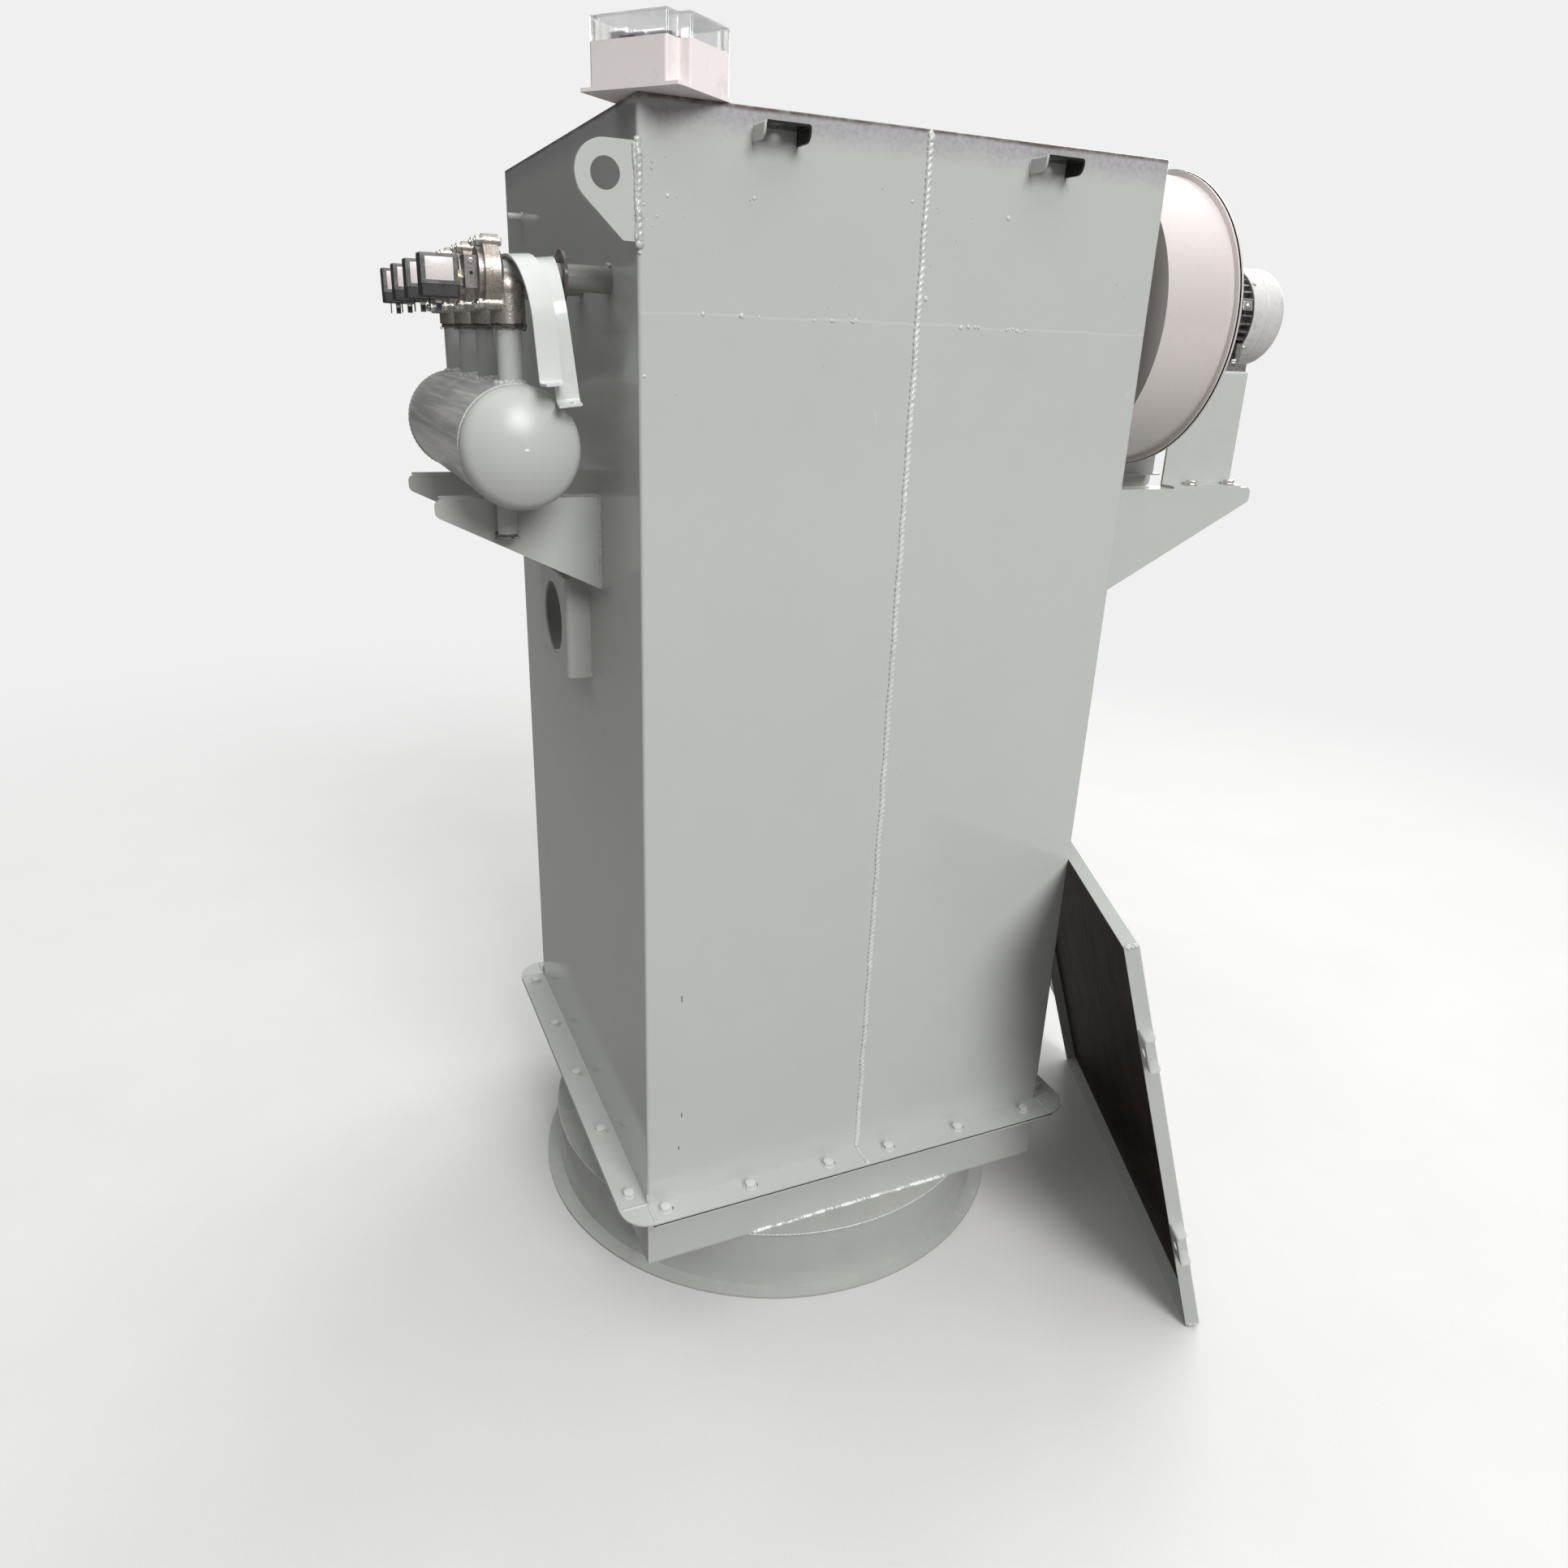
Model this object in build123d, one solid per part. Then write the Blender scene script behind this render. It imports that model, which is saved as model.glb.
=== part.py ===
from build123d import *
import math
import os

# Pulse bag dust collector: a square sheet-steel housing on a round base ring, with a
# compressed-air tank and pulse valves on its left, a fan on its right and its cover taken
# off. X points to the fan, Y away from the seamed front, Z up. The origin is the centre of
# the base ring on the surface that it stands on.

# Sheet and bends, shared by everything folded
sheet = 3.0
bend = 5.0
fold_radius = 2.5

# Cuts run past a face by this much, and joined pieces run into each other by as much
past = 1.0
into = 1.0

# How near an edge has to lie to the place where a round is wanted
near_enough = 0.1

# Base ring, closing plate and skirt
ring_radius = 450.0
ring_wall = 3.0
ring_height = 125.0
ring_flange_width = 28.0
ring_flange_thickness = 5.0
closing_plate_thickness = 3.0
skirt_height = 124.0

# Bolted joint between skirt and housing
flange_width = 50.0
seal_thickness = 3.0
seal_width = 30.0

# Housing
housing_width = 800.0
housing_height = 1643.0
top_lip = 25.0

# Tube sheet with its bag holes
tube_sheet_thickness = 5.0
tube_sheet_drop = 205.0
bag_hole_diameter = 132.0
row_pitch = 152.0
row_count = 4
first_row_from_front = 130.0
holes_per_row = 5

# Blow pipes
pipe_diameter = 34.0
pipe_wall = 3.0
pipe_depth_below_top = 198.0
pipe_end_gap = 45.0
nozzle_diameter = 9.0
fit = 0.3
stiffener_leg = 25.0
stiffener_thickness = 3.0
rest_bar_from_end = 20.0

# Compressed-air tank
tank_diameter = 159.0
tank_wall = 4.5
tank_from_wall = 136.0
tank_below_pipes = 211.0
tank_overhang = 32.0
dish_straight = 10.0
crown_share = 0.8
knuckle_share = 0.154
drain_diameter = 27.0
drain_bore = 15.0
drain_length = 52.0
drain_from_first_row = 55.0
drain_off_axis = 5.0
drain_relief_radius = 9.0
drain_relief_length = 4.0

# Right-angle pulse valves
valve_inlet_radius = 22.5
valve_inlet_drop = 59.0
valve_flange_radius = 40.0
valve_flange_thickness = 11.0
valve_flange_from_inlet = 13.0
valve_bell_radius = 37.0
valve_outlet_radius = 26.0
valve_outlet_before_inlet = 7.5
valve_elbow_radius = 23.5
valve_elbow_drop = 16.0
valve_bolt_radius = 40.0
valve_bolt_turn = 26.0
valve_boss_radius = 8.0
valve_boss_length = 12.0
cover_thickness = 14.0
cover_dome_radius = 30.0
cover_dome_height = 6.0
pilot_length = 16.0
pilot_width = 32.0
pilot_height = 38.0
stem_radius = 9.0
stem_length = 8.0
coil_length = 46.0
coil_width = 34.0
coil_height = 50.0
coil_drop = 7.0
coil_pin_width = 7.0
coil_pin_length = 15.0
coil_pin_thickness = 1.0
coil_pin_places = (24.0, 35.0)
coil_edge = 2.0

# Brackets for the tank, and the two loose hoops
tank_bracket_length = 237.0
tank_bracket_root = 138.0
tank_bracket_tip = 24.0
bracket_nose_radius = 10.0
bracket_flange = 40.0
bracket_to_end = 107.0
hoop_width = 30.0
hoop_thickness = 3.0
hoop_play = 0.5
hoop_foot = 25.0
hoop_foot_bend = 4.0
hoop_hole = 11.0
# Place from the tank's axis, lift above the pipe, leg, lean to the wall, swing and turn
outer_hoop = (13.3, 5.0, 72.5, 4.4, 0.0, 6.9)
inner_hoop = (46.5, 2.7, 87.0, 7.3, 5.5, -7.0)
disc_diameter = 66.0
disc_thickness = 4.0
disc_from_wall = 63.0

# Stand-off bracket and stub on the left wall
standoff_width = 190.0
standoff_height = 160.0
standoff_reach = 39.0
standoff_bend = 9.0
standoff_hole = 120.0
standoff_from_front = 373.0
standoff_below_top = 705.0
stub_diameter = 12.0
stub_length = 24.0
stub_from_front = 668.0
stub_below_top = 84.0

# Lifting lugs
lug_thickness = 8.0
lug_height = 108.0
lug_below_top = 51.0
lug_hole_diameter = 36.0
lug_hole_from_wall = 39.0
lug_nose_radius = 37.0
lug_foot = 18.0

# Saddle clips on housing and cover
clip_width = 63.0
clip_reach = 38.0
clip_height = 20.0
clip_corner = 13.0
clip_bend = 4.0
clip_hole = 15.0
clip_below_top = 19.0
clip_from_left = (178.5, 590.0)

# Cover, leaning on the front right corner of the housing
cover_play = 4.0
cover_seal = 3.0
cover_bend = 3.5
cover_yaw = 67.8
cover_lean = 16.55
cover_contact = 321.5

# Pulse controller, set down on the front left corner
box_plate_length = 142.0
box_plate_width = 114.0
box_plate_thickness = 4.0
box_plate_corner = 3.0
box_length = 127.0
box_width = 108.0
box_height = 46.0
box_wall = 3.0
box_corner = 4.0
box_pocket = (17.0, 23.0)
box_column = 12.0
box_lid_height = 26.0
box_screw_hole = 5.0
box_inner_corner = 1.0
box_lid_edge = 2.0
box_centre = (34.0, 27.0)
box_turn = -53.0

# Fan: casing, back plate, inlet ring and impeller
fan_from_front = 210.0
fan_below_top = 193.0
fan_gap = 22.0
fan_width = 134.0
fan_start_radius = 204.0
fan_growth = 78.0
fan_rim = 8.0
fan_groove = 2.0
fan_back_thickness = 4.0
fan_back_margin = 1.0
scroll_step = 30
fan_outlet_turn = 270
fan_outlet_height = 232.0
fan_outlet_depth = 150.0
fan_tongue_radius = 14.0
fan_outlet_flange = 25.0
fan_inlet_radius = 92.0
fan_inlet_ring_radius = 125.0
impeller_radius = 150.0
impeller_width = 80.0
impeller_hub_radius = 24.0
impeller_hub_length = 35.0
impeller_hub_play = 2.0
shroud_inside_inlet = 4.0
impeller_blades = 12
impeller_gap = 8.0
blade_thickness = 3.0
blade_angle = 40.0
blade_inside_inlet = 2.0
blade_inside_rim = 0.5
blade_bow = 8.0

# Motor and its stand
motor_height = 90.0
motor_core_radius = 62.0
motor_fin_radius = 75.0
motor_fins = 36
motor_fin_thickness = 3.0
motor_body_length = 194.0
motor_flange_radius = 80.0
motor_flange_thickness = 10.0
motor_shield_thickness = 14.0
cowl_radius = 80.0
cowl_length = 76.0
cowl_overlap = 14.0
cowl_wall = 2.0
cowl_corner = 14.0
cowl_slots = 3
cowl_first_slot = 20.0
cowl_slot_pitch = 15.0
cowl_slot_width = 8.0
cowl_spoke = 14.0
foot_thickness = 12.0
foot_width = 36.0
foot_span = 140.0
foot_length = 150.0
foot_from_back_plate = 25.0
foot_rib_height = 45.0
foot_rib_thickness = 12.0
stand_width = 202.0
stand_length = 153.0
stand_from_back_plate = 16.0
stand_sheet = 4.0
stand_height = 192.0
stand_flange = 30.0
fan_bracket_length = 354.0
fan_bracket_root = 202.0
fan_bracket_tip = 24.0
fan_bracket_play = 1.0

# Levels and places worked out from the sizes above
half = housing_width / 2
closing_bottom = ring_height
skirt_bottom = closing_bottom + closing_plate_thickness
skirt_top = skirt_bottom + skirt_height
housing_bottom = skirt_top + seal_thickness
top = housing_bottom + housing_height
tube_sheet_level = top - pipe_depth_below_top - tube_sheet_drop
pipe_level = top - pipe_depth_below_top
rows = [first_row_from_front - half + row_pitch * i for i in range(row_count)]
columns = [row_pitch * (i - (holes_per_row - 1) / 2) for i in range(holes_per_row)]
tank_x = -half - tank_from_wall
tank_level = pipe_level - tank_below_pipes
tank_radius = tank_diameter / 2
tank_front = rows[0] - tank_overhang
tank_back = rows[-1] + tank_overhang
pipe_radius = pipe_diameter / 2
pipe_start = tank_x - valve_outlet_before_inlet + fit
pipe_end = half - sheet - pipe_end_gap
fan_y = fan_from_front - half
fan_level = top - fan_below_top
fan_front = half + fan_gap
fan_back = fan_front + fan_width
back_plate_end = fan_back + fan_groove + fan_back_thickness
stand_top = fan_level - motor_height
stand_bottom = stand_top - stand_height
cover_width = housing_width + 2 * (cover_play + sheet)
cover_rim = clip_below_top + cover_seal + sheet


def cylinder_x(radius, start, end, y, z):
    """A round bar along X."""
    return Pos((start + end) / 2, y, z) * Rot(0, 90, 0) * Cylinder(radius, end - start)


def cylinder_y(radius, x, start, end, z):
    """A round bar along Y."""
    return Pos(x, (start + end) / 2, z) * Rot(90, 0, 0) * Cylinder(radius, end - start)


def cylinder_z(radius, x, y, bottom, height):
    """A round bar along Z, standing on its bottom level."""
    return Pos(x, y, bottom + height / 2) * Cylinder(radius, height)


def block(x0, x1, y0, y1, z0, z1):
    """A box between two corners."""
    return Pos((x0 + x1) / 2, (y0 + y1) / 2, (z0 + z1) / 2) * Box(x1 - x0, y1 - y0, z1 - z0)


def square_tube(width, wall, corner, bottom, height):
    """A square tube of folded sheet with rounded corners."""
    outer = RectangleRounded(width, width, corner)
    inner = RectangleRounded(width - 2 * wall, width - 2 * wall, corner - wall)
    return Pos(0, 0, bottom) * extrude(outer - inner, height)


def base_ring():
    """The rolled ring with its outward foot flange, as one turned profile."""
    inner = ring_radius - ring_wall
    outer = ring_radius + ring_flange_width
    profile = Polyline(
        (inner, 0), (outer, 0), (outer, ring_flange_thickness),
        (ring_radius, ring_flange_thickness), (ring_radius, ring_height),
        (inner, ring_height), close=True)
    return revolve(Plane.XZ * make_face(profile), Axis.Z)


def closing_plate():
    """The flat plate that closes the round ring against the square skirt."""
    outline = Circle(ring_radius) + Rectangle(housing_width, housing_width)
    mouth_side = housing_width - 2 * sheet
    mouth = Circle(ring_radius - ring_wall) & Rectangle(mouth_side, mouth_side)
    return Pos(0, 0, closing_bottom) * extrude(outline - mouth, closing_plate_thickness)


def skirt_side(turn):
    """One side of the skirt: a wall folded outwards at the top into a flange."""
    width = housing_width
    wall = block(-half, half, -half, -half + sheet, skirt_bottom, skirt_top)
    flange = block(-half, half, -half - flange_width, -half + sheet, skirt_top - sheet, skirt_top)
    side = wall + flange
    crease = side.edges().filter_by(Axis.X).group_by(Axis.Z)[-1].sort_by(Axis.Y)[-1]
    side = fillet(crease, fold_radius)
    # The wall ends are mitred so that the four sides meet at the corners.
    corner = Polyline((0, 0), (-width, -width), (width, -width), close=True)
    wedge = Pos(0, 0, skirt_bottom) * extrude(make_face(corner), skirt_height)
    return Rot(0, 0, turn) * (side & wedge)


def flange_seal():
    """The sealing strip between the two bolted flanges."""
    outer = Rectangle(housing_width + 2 * seal_width, housing_width + 2 * seal_width)
    inner = Rectangle(housing_width, housing_width)
    return Pos(0, 0, skirt_top) * extrude(outer - inner, seal_thickness)


def whole_shell():
    """The housing before its seam: folded walls, inward top lip and outward bottom flange."""
    walls = square_tube(housing_width, sheet, bend, housing_bottom, housing_height)
    opening = Rectangle(housing_width - 2 * top_lip, housing_width - 2 * top_lip)
    lip = RectangleRounded(housing_width, housing_width, bend) - opening
    shell = walls + Pos(0, 0, top - sheet) * extrude(lip, sheet)
    rim = shell.edges().group_by(Axis.Z)[-1].filter_by(lambda edge: edge_reach(edge) > half - bend)
    shell = fillet(rim, fold_radius)
    outside = -half - flange_width
    for turn in range(4):
        strip = block(-half, half, outside, -half + sheet, housing_bottom, housing_bottom + sheet)
        shell = shell + Rot(0, 0, 90 * turn) * strip
    return shell


def edge_reach(edge):
    """How far an edge lies from the middle of the housing, along X or Y."""
    centre = edge.center()
    return max(abs(centre.X), abs(centre.Y))


def half_shell(side):
    """Left (-1) or right (+1) half of the housing, parted at the front and back seams."""
    reach = half + flange_width + past
    near, far = sorted((0, side * reach))
    shell = whole_shell() & block(near, far, -reach, reach, 0, top + past)
    if side < 0:
        for y in rows:
            shell = shell - cylinder_x(pipe_radius + fit, -half - past, -half + sheet + past, y, pipe_level)
    else:
        shell = shell - cylinder_x(fan_inlet_radius, half - sheet - past, half + past, fan_y, fan_level)
    return shell


def corner_plates():
    """Four rounded plates that fill the flange at the corners."""
    outside = -flange_width / 2
    quarter = Circle(flange_width) & Pos(outside, outside) * Rectangle(flange_width, flange_width)
    plate = Pos(-half, -half, housing_bottom) * extrude(quarter, sheet)
    return Compound(children=[Rot(0, 0, 90 * turn) * plate for turn in range(4)])


def tube_sheet():
    """The plate across the housing with one hole for each bag mouth."""
    side = housing_width - 2 * sheet
    plate = RectangleRounded(side, side, bend)
    for y in rows:
        for x in columns:
            plate = plate - Pos(x, y) * Circle(bag_hole_diameter / 2)
    return Pos(0, 0, tube_sheet_level) * extrude(plate, tube_sheet_thickness)


def blow_pipe(y):
    """A closed pipe over one row of bags, with a nozzle hole above each mouth."""
    pipe = cylinder_x(pipe_radius, pipe_start, pipe_end, y, pipe_level)
    pipe = pipe - cylinder_x(pipe_radius - pipe_wall, pipe_start - past, pipe_end - pipe_wall, y, pipe_level)
    for x in columns:
        pipe = pipe - cylinder_z(nozzle_diameter / 2, x, y, pipe_level - pipe_radius - past, pipe_radius)
    return pipe


def angle_bar(length):
    """An angle bar along X with its corner at the origin, one leg down and one leg to +Y."""
    down = block(0, length, 0, stiffener_thickness, -stiffener_leg, 0)
    across = block(0, length, 0, stiffener_leg, -stiffener_thickness, 0)
    return down + across


def wall_stiffeners():
    """Angle bars inside the front and back walls, just under the blow pipes."""
    length = housing_width - 2 * (sheet + bend)
    level = pipe_level - pipe_radius - fit
    front = Pos(-length / 2, -half + sheet, level) * angle_bar(length)
    return Compound(children=[front, Rot(0, 0, 180) * front])


def pipe_rest():
    """The cross bar that carries the far ends of the blow pipes."""
    reach = half - sheet - stiffener_leg
    level = pipe_level - pipe_radius - fit
    x = pipe_end - rest_bar_from_end
    return Pos(x, -reach, level) * Rot(0, 0, 90) * angle_bar(2 * reach)


def tank_shell():
    """The rolled body of the air tank."""
    outside = cylinder_y(tank_radius, tank_x, tank_front, tank_back, tank_level)
    return outside - cylinder_y(tank_radius - tank_wall, tank_x, tank_front - past, tank_back + past, tank_level)


def dish_lines(inset):
    """The knuckle and crown arcs of a dished end in section, and the level of its pole."""
    crown = crown_share * tank_diameter
    knuckle = knuckle_share * tank_diameter
    knuckle_x = tank_radius - knuckle
    drop = math.sqrt((crown - knuckle) ** 2 - knuckle_x ** 2)
    turn = math.degrees(math.atan2(drop, knuckle_x))
    knuckle_arc = CenterArc((knuckle_x, dish_straight), knuckle - inset, 0, turn)
    crown_arc = CenterArc((0, dish_straight - drop), crown - inset, turn, 90 - turn)
    side = Line((tank_radius - inset, 0), (tank_radius - inset, dish_straight))
    return [side, knuckle_arc, crown_arc], dish_straight - drop + crown - inset


def tank_end(back):
    """A dished end of two arcs with a short straight skirt, turned about the tank's axis."""
    outer, outer_pole = dish_lines(0)
    inner, inner_pole = dish_lines(tank_wall)
    rim = Line((tank_radius - tank_wall, 0), (tank_radius, 0))
    pole = Line((0, inner_pole), (0, outer_pole))
    dish = revolve(make_face(Wire(outer + inner + [rim, pole])), Axis.Y)
    if back:
        return Pos(tank_x, tank_back, tank_level) * dish
    return Pos(tank_x, tank_front, tank_level) * Rot(0, 0, 180) * dish


def risers():
    """Four short pipes from the tank to the valves, saddled onto the tank."""
    solids = []
    end = pipe_level - valve_inlet_drop - fit
    height = end - tank_level
    for y in rows:
        riser = cylinder_z(pipe_radius, tank_x, y, tank_level, height)
        riser = riser - cylinder_z(pipe_radius - pipe_wall, tank_x, y, tank_level, height + past)
        riser = riser - cylinder_y(tank_radius + fit, tank_x, y - tank_radius, y + tank_radius, tank_level)
        solids.append(riser)
    return Compound(children=solids)


def drain_socket():
    """The drain socket under the front end of the tank, with a relief at the end of its bore."""
    x = tank_x - drain_off_axis
    y = rows[0] + drain_from_first_row
    bottom = tank_level - tank_radius - drain_length
    height = tank_level - bottom
    relief = bottom + drain_length - drain_relief_length
    socket = cylinder_z(drain_diameter / 2, x, y, bottom, height)
    socket = socket - cylinder_z(drain_bore / 2, x, y, bottom - past, height + 2 * past)
    socket = socket - cylinder_z(drain_relief_radius, x, y, relief, height)
    return socket - cylinder_y(tank_radius + fit, tank_x, y - tank_radius, y + tank_radius, tank_level)


def valve_bolt_places(y):
    """The four bolt places of a valve flange as (y, z)."""
    places = []
    for turn in (90 - valve_bolt_turn, 90 + valve_bolt_turn, 270 - valve_bolt_turn, 270 + valve_bolt_turn):
        angle = math.radians(turn)
        across = valve_bolt_radius * math.cos(angle)
        places.append((y + across, pipe_level + valve_bolt_radius * math.sin(angle)))
    return places


def valve_body(y):
    """A cast right-angle body: a bell along X from the flange to the outlet, and a round
    inlet neck from below that turns in with an elbow."""
    flange_start = tank_x - valve_flange_from_inlet - valve_flange_thickness
    flange_end = tank_x - valve_flange_from_inlet
    outlet = tank_x - valve_outlet_before_inlet
    shape = Polyline(
        (flange_start, 0), (flange_start, valve_flange_radius), (flange_end, valve_flange_radius),
        (flange_end, valve_bell_radius), (outlet, valve_outlet_radius), (outlet, 0), close=True)
    body = Pos(0, y, pipe_level) * revolve(Plane.XZ * make_face(shape), Axis.X)
    elbow_level = pipe_level - valve_elbow_drop
    neck_level = pipe_level - valve_inlet_drop
    neck = cylinder_z(valve_inlet_radius, tank_x, y, neck_level, elbow_level - neck_level)
    elbow = Pos(tank_x, y, elbow_level) * Sphere(valve_elbow_radius)
    body = body + neck + elbow
    boss_end = flange_start + valve_boss_length
    for boss_y, boss_z in valve_bolt_places(y):
        body = body + cylinder_x(valve_boss_radius, flange_start, boss_end, boss_y, boss_z)
    # The blow pipe enters the outlet through the elbow.
    reach = valve_outlet_before_inlet + valve_elbow_radius
    return body - cylinder_x(pipe_radius + fit, outlet, outlet + reach + past, y, pipe_level)


def valve_cover(y):
    """The round diaphragm cover with a raised centre."""
    end = tank_x - valve_flange_from_inlet - valve_flange_thickness
    plate_start = end - cover_thickness + cover_dome_height
    plate = cylinder_x(valve_flange_radius, plate_start, end, y, pipe_level)
    dome = cylinder_x(cover_dome_radius, end - cover_thickness, end, y, pipe_level)
    cover = plate + dome
    for boss_y, boss_z in valve_bolt_places(y):
        cover = cover + cylinder_x(valve_boss_radius, plate_start, end, boss_y, boss_z)
    return cover


def valve_pilot(y):
    """The pilot block on the cover with the stem that carries the coil."""
    end = tank_x - valve_flange_from_inlet - valve_flange_thickness - cover_thickness
    pilot = block(end - pilot_length, end, y - pilot_width / 2, y + pilot_width / 2,
                  pipe_level - pilot_height / 2, pipe_level + pilot_height / 2)
    stem = cylinder_x(stem_radius, end - pilot_length - stem_length, end - pilot_length, y, pipe_level - coil_drop)
    return pilot + stem


def coil_box(y):
    """The moulded coil with its two flat contact pins below."""
    end = tank_x - valve_flange_from_inlet - valve_flange_thickness - cover_thickness - pilot_length - stem_length
    level = pipe_level - coil_drop
    coil = block(end - coil_length, end, y - coil_width / 2, y + coil_width / 2,
                 level - coil_height / 2, level + coil_height / 2)
    coil = fillet(coil.edges(), coil_edge)
    bottom = level - coil_height / 2
    pin_half = coil_pin_width / 2
    thin = coil_pin_thickness / 2
    low = bottom - coil_pin_length
    x = end - coil_pin_places[0]
    coil = coil + block(x - pin_half, x + pin_half, y - thin, y + thin, low, bottom + into)
    x = end - coil_pin_places[1]
    coil = coil + block(x - thin, x + thin, y - pin_half, y + pin_half, low, bottom + into)
    return coil


def gusset(length, root, tip, flange, side):
    """A triangular bracket along +X, its top at Z zero: web with a rounded nose and a top
    flange folded to the given side of Y."""
    nose = bracket_nose_radius
    outline = Polyline((0, 0), (length, 0), (length, -tip), (0, -root), close=True)
    face = make_face(outline)
    corners = face.vertices().sort_by(Axis.X)[-2:]
    face = fillet(corners, nose)
    web = extrude(Plane.XZ * face, sheet if side < 0 else -sheet)
    y0, y1 = sorted((0, side * flange))
    lip = block(0, length - nose, y0, y1, -sheet, 0)
    return web + lip


def tank_brackets():
    """The two brackets under the tank."""
    bracket = gusset(tank_bracket_length, tank_bracket_root, tank_bracket_tip, bracket_flange, -1)
    level = tank_level - tank_radius - fit
    brackets = []
    for y in (tank_front + bracket_to_end, tank_back - bracket_to_end):
        brackets.append(Pos(-half, y, level) * Rot(0, 0, 180) * bracket)
    return Compound(children=brackets)


def edges_at(solid, reach, level):
    """The edges along X that lie this far out on either side of Y, at this level."""
    edges = solid.edges().filter_by(Axis.X)
    edges = edges.filter_by(lambda edge: abs(abs(edge.center().Y) - reach) < near_enough)
    return edges.filter_by(lambda edge: abs(edge.center().Z - level) < near_enough)


def hoop(from_axis, lift, leg, lean, swing, turn):
    """A flat-bar hoop for the tank, hung loosely over the first blow pipe."""
    inner = tank_radius + hoop_play
    outer = inner + hoop_thickness
    ring = (Circle(outer) - Circle(inner)) & Pos(0, outer / 2) * Rectangle(2 * outer, outer)
    legs = Pos(0, -leg / 2) * (Rectangle(2 * outer, leg) - Rectangle(2 * inner, leg))
    foot = Pos(outer + hoop_foot / 2 - into, -leg + hoop_thickness / 2)
    foot = foot * Rectangle(hoop_foot + 2 * into, hoop_thickness)
    profile = ring + legs + foot + mirror(foot, Plane.YZ)
    strap = Pos(-hoop_width / 2, 0, 0) * extrude(Plane.YZ * profile, hoop_width)
    strap = fillet(edges_at(strap, outer, hoop_thickness - leg), hoop_foot_bend)
    strap = fillet(edges_at(strap, inner, -leg), hoop_foot_bend + hoop_thickness)
    for side in (-1, 1):
        y = side * (outer + hoop_foot / 2)
        strap = strap - cylinder_z(hoop_hole / 2, 0, y, -leg - past, hoop_thickness + 2 * past)
    over_pipe = Pos(tank_x + from_axis, rows[0], pipe_level + pipe_radius + lift)
    return over_pipe * Rot(0, 0, turn) * Rot(swing, 0, 0) * Rot(0, -lean, 0) * Pos(0, 0, -inner) * strap


def pipe_discs():
    """Thin sealing discs on the blow pipes beside the wall."""
    x = -half - disc_from_wall
    discs = []
    start = x - disc_thickness
    for y in rows:
        disc = cylinder_x(disc_diameter / 2, start, x, y, pipe_level)
        discs.append(disc - cylinder_x(pipe_radius + fit, start - past, x + past, y, pipe_level))
    return Compound(children=discs)


def standoff_bracket():
    """A folded U on the left wall with one large hole in its face."""
    outer = RectangleRounded(standoff_width, 2 * standoff_reach, standoff_bend)
    inner = RectangleRounded(standoff_width - 2 * sheet, 2 * (standoff_reach - sheet), standoff_bend - sheet)
    front = Pos(0, standoff_reach / 2) * Rectangle(standoff_width, standoff_reach)
    profile = (outer - inner) & front
    bracket = Pos(0, 0, -standoff_height / 2) * extrude(profile, standoff_height)
    bracket = bracket - cylinder_y(standoff_hole / 2, 0, 0, standoff_reach + past, 0)
    return Pos(-half, standoff_from_front - half, top - standoff_below_top) * Rot(0, 0, 90) * bracket


def wall_stub():
    """A short stub on the left wall near the back top corner."""
    return cylinder_x(stub_diameter / 2, -half - stub_length, -half, stub_from_front - half, top - stub_below_top)


def lug():
    """A lifting lug in the plane of the front wall, its root at X zero and its top at Z zero."""
    centre = (-lug_hole_from_wall, -lug_nose_radius)
    low = (-lug_foot, -lug_height)
    # The sloping edge touches the nose circle.
    gap_x = low[0] - centre[0]
    gap_y = low[1] - centre[1]
    distance = math.hypot(gap_x, gap_y)
    turn = math.atan2(gap_y, gap_x) - math.acos(lug_nose_radius / distance)
    tangent = (centre[0] + lug_nose_radius * math.cos(turn), centre[1] + lug_nose_radius * math.sin(turn))
    outermost = (centre[0] - lug_nose_radius, centre[1])
    outline = [
        Line((0, 0), (centre[0], 0)),
        ThreePointArc((centre[0], 0), outermost, tangent),
        Line(tangent, low),
        Line(low, (0, -lug_height)),
        Line((0, -lug_height), (0, 0)),
    ]
    face = make_face(Wire(outline)) - Pos(*centre) * Circle(lug_hole_diameter / 2)
    return extrude(Plane.XZ * face, -lug_thickness)


def lifting_lugs():
    """One lug at the front left corner and one at the back right corner."""
    front = Pos(-half, -half, top - lug_below_top) * lug()
    return Compound(children=[front, Rot(0, 0, 180) * front])


def clip():
    """A saddle of flat bar: its legs end at Y zero, its web lies on top at Z zero."""
    outer = RectangleRounded(clip_width, 2 * clip_height, clip_bend)
    inner = RectangleRounded(clip_width - 2 * sheet, 2 * (clip_height - sheet), clip_bend - sheet)
    profile = (outer - inner) & Pos(0, clip_height / 2) * Rectangle(clip_width, clip_height)
    saddle = extrude(Plane.XZ * profile, clip_reach)
    free = saddle.edges().filter_by(Axis.X).group_by(Axis.Z)[0].group_by(Axis.Y)[0]
    saddle = fillet(free, clip_corner)
    saddle = saddle - cylinder_z(clip_hole / 2, 0, -clip_reach / 2, 0, clip_height + past)
    return Pos(0, 0, -clip_height) * saddle


def housing_clips():
    """Two clips on the front wall and two on the back wall, just under the top edge."""
    clips = []
    for from_left in clip_from_left:
        front = Pos(from_left - half, -half, top - clip_below_top) * clip()
        clips.append(front)
        clips.append(mirror(front, Plane.XZ))
    return Compound(children=clips)


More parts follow.
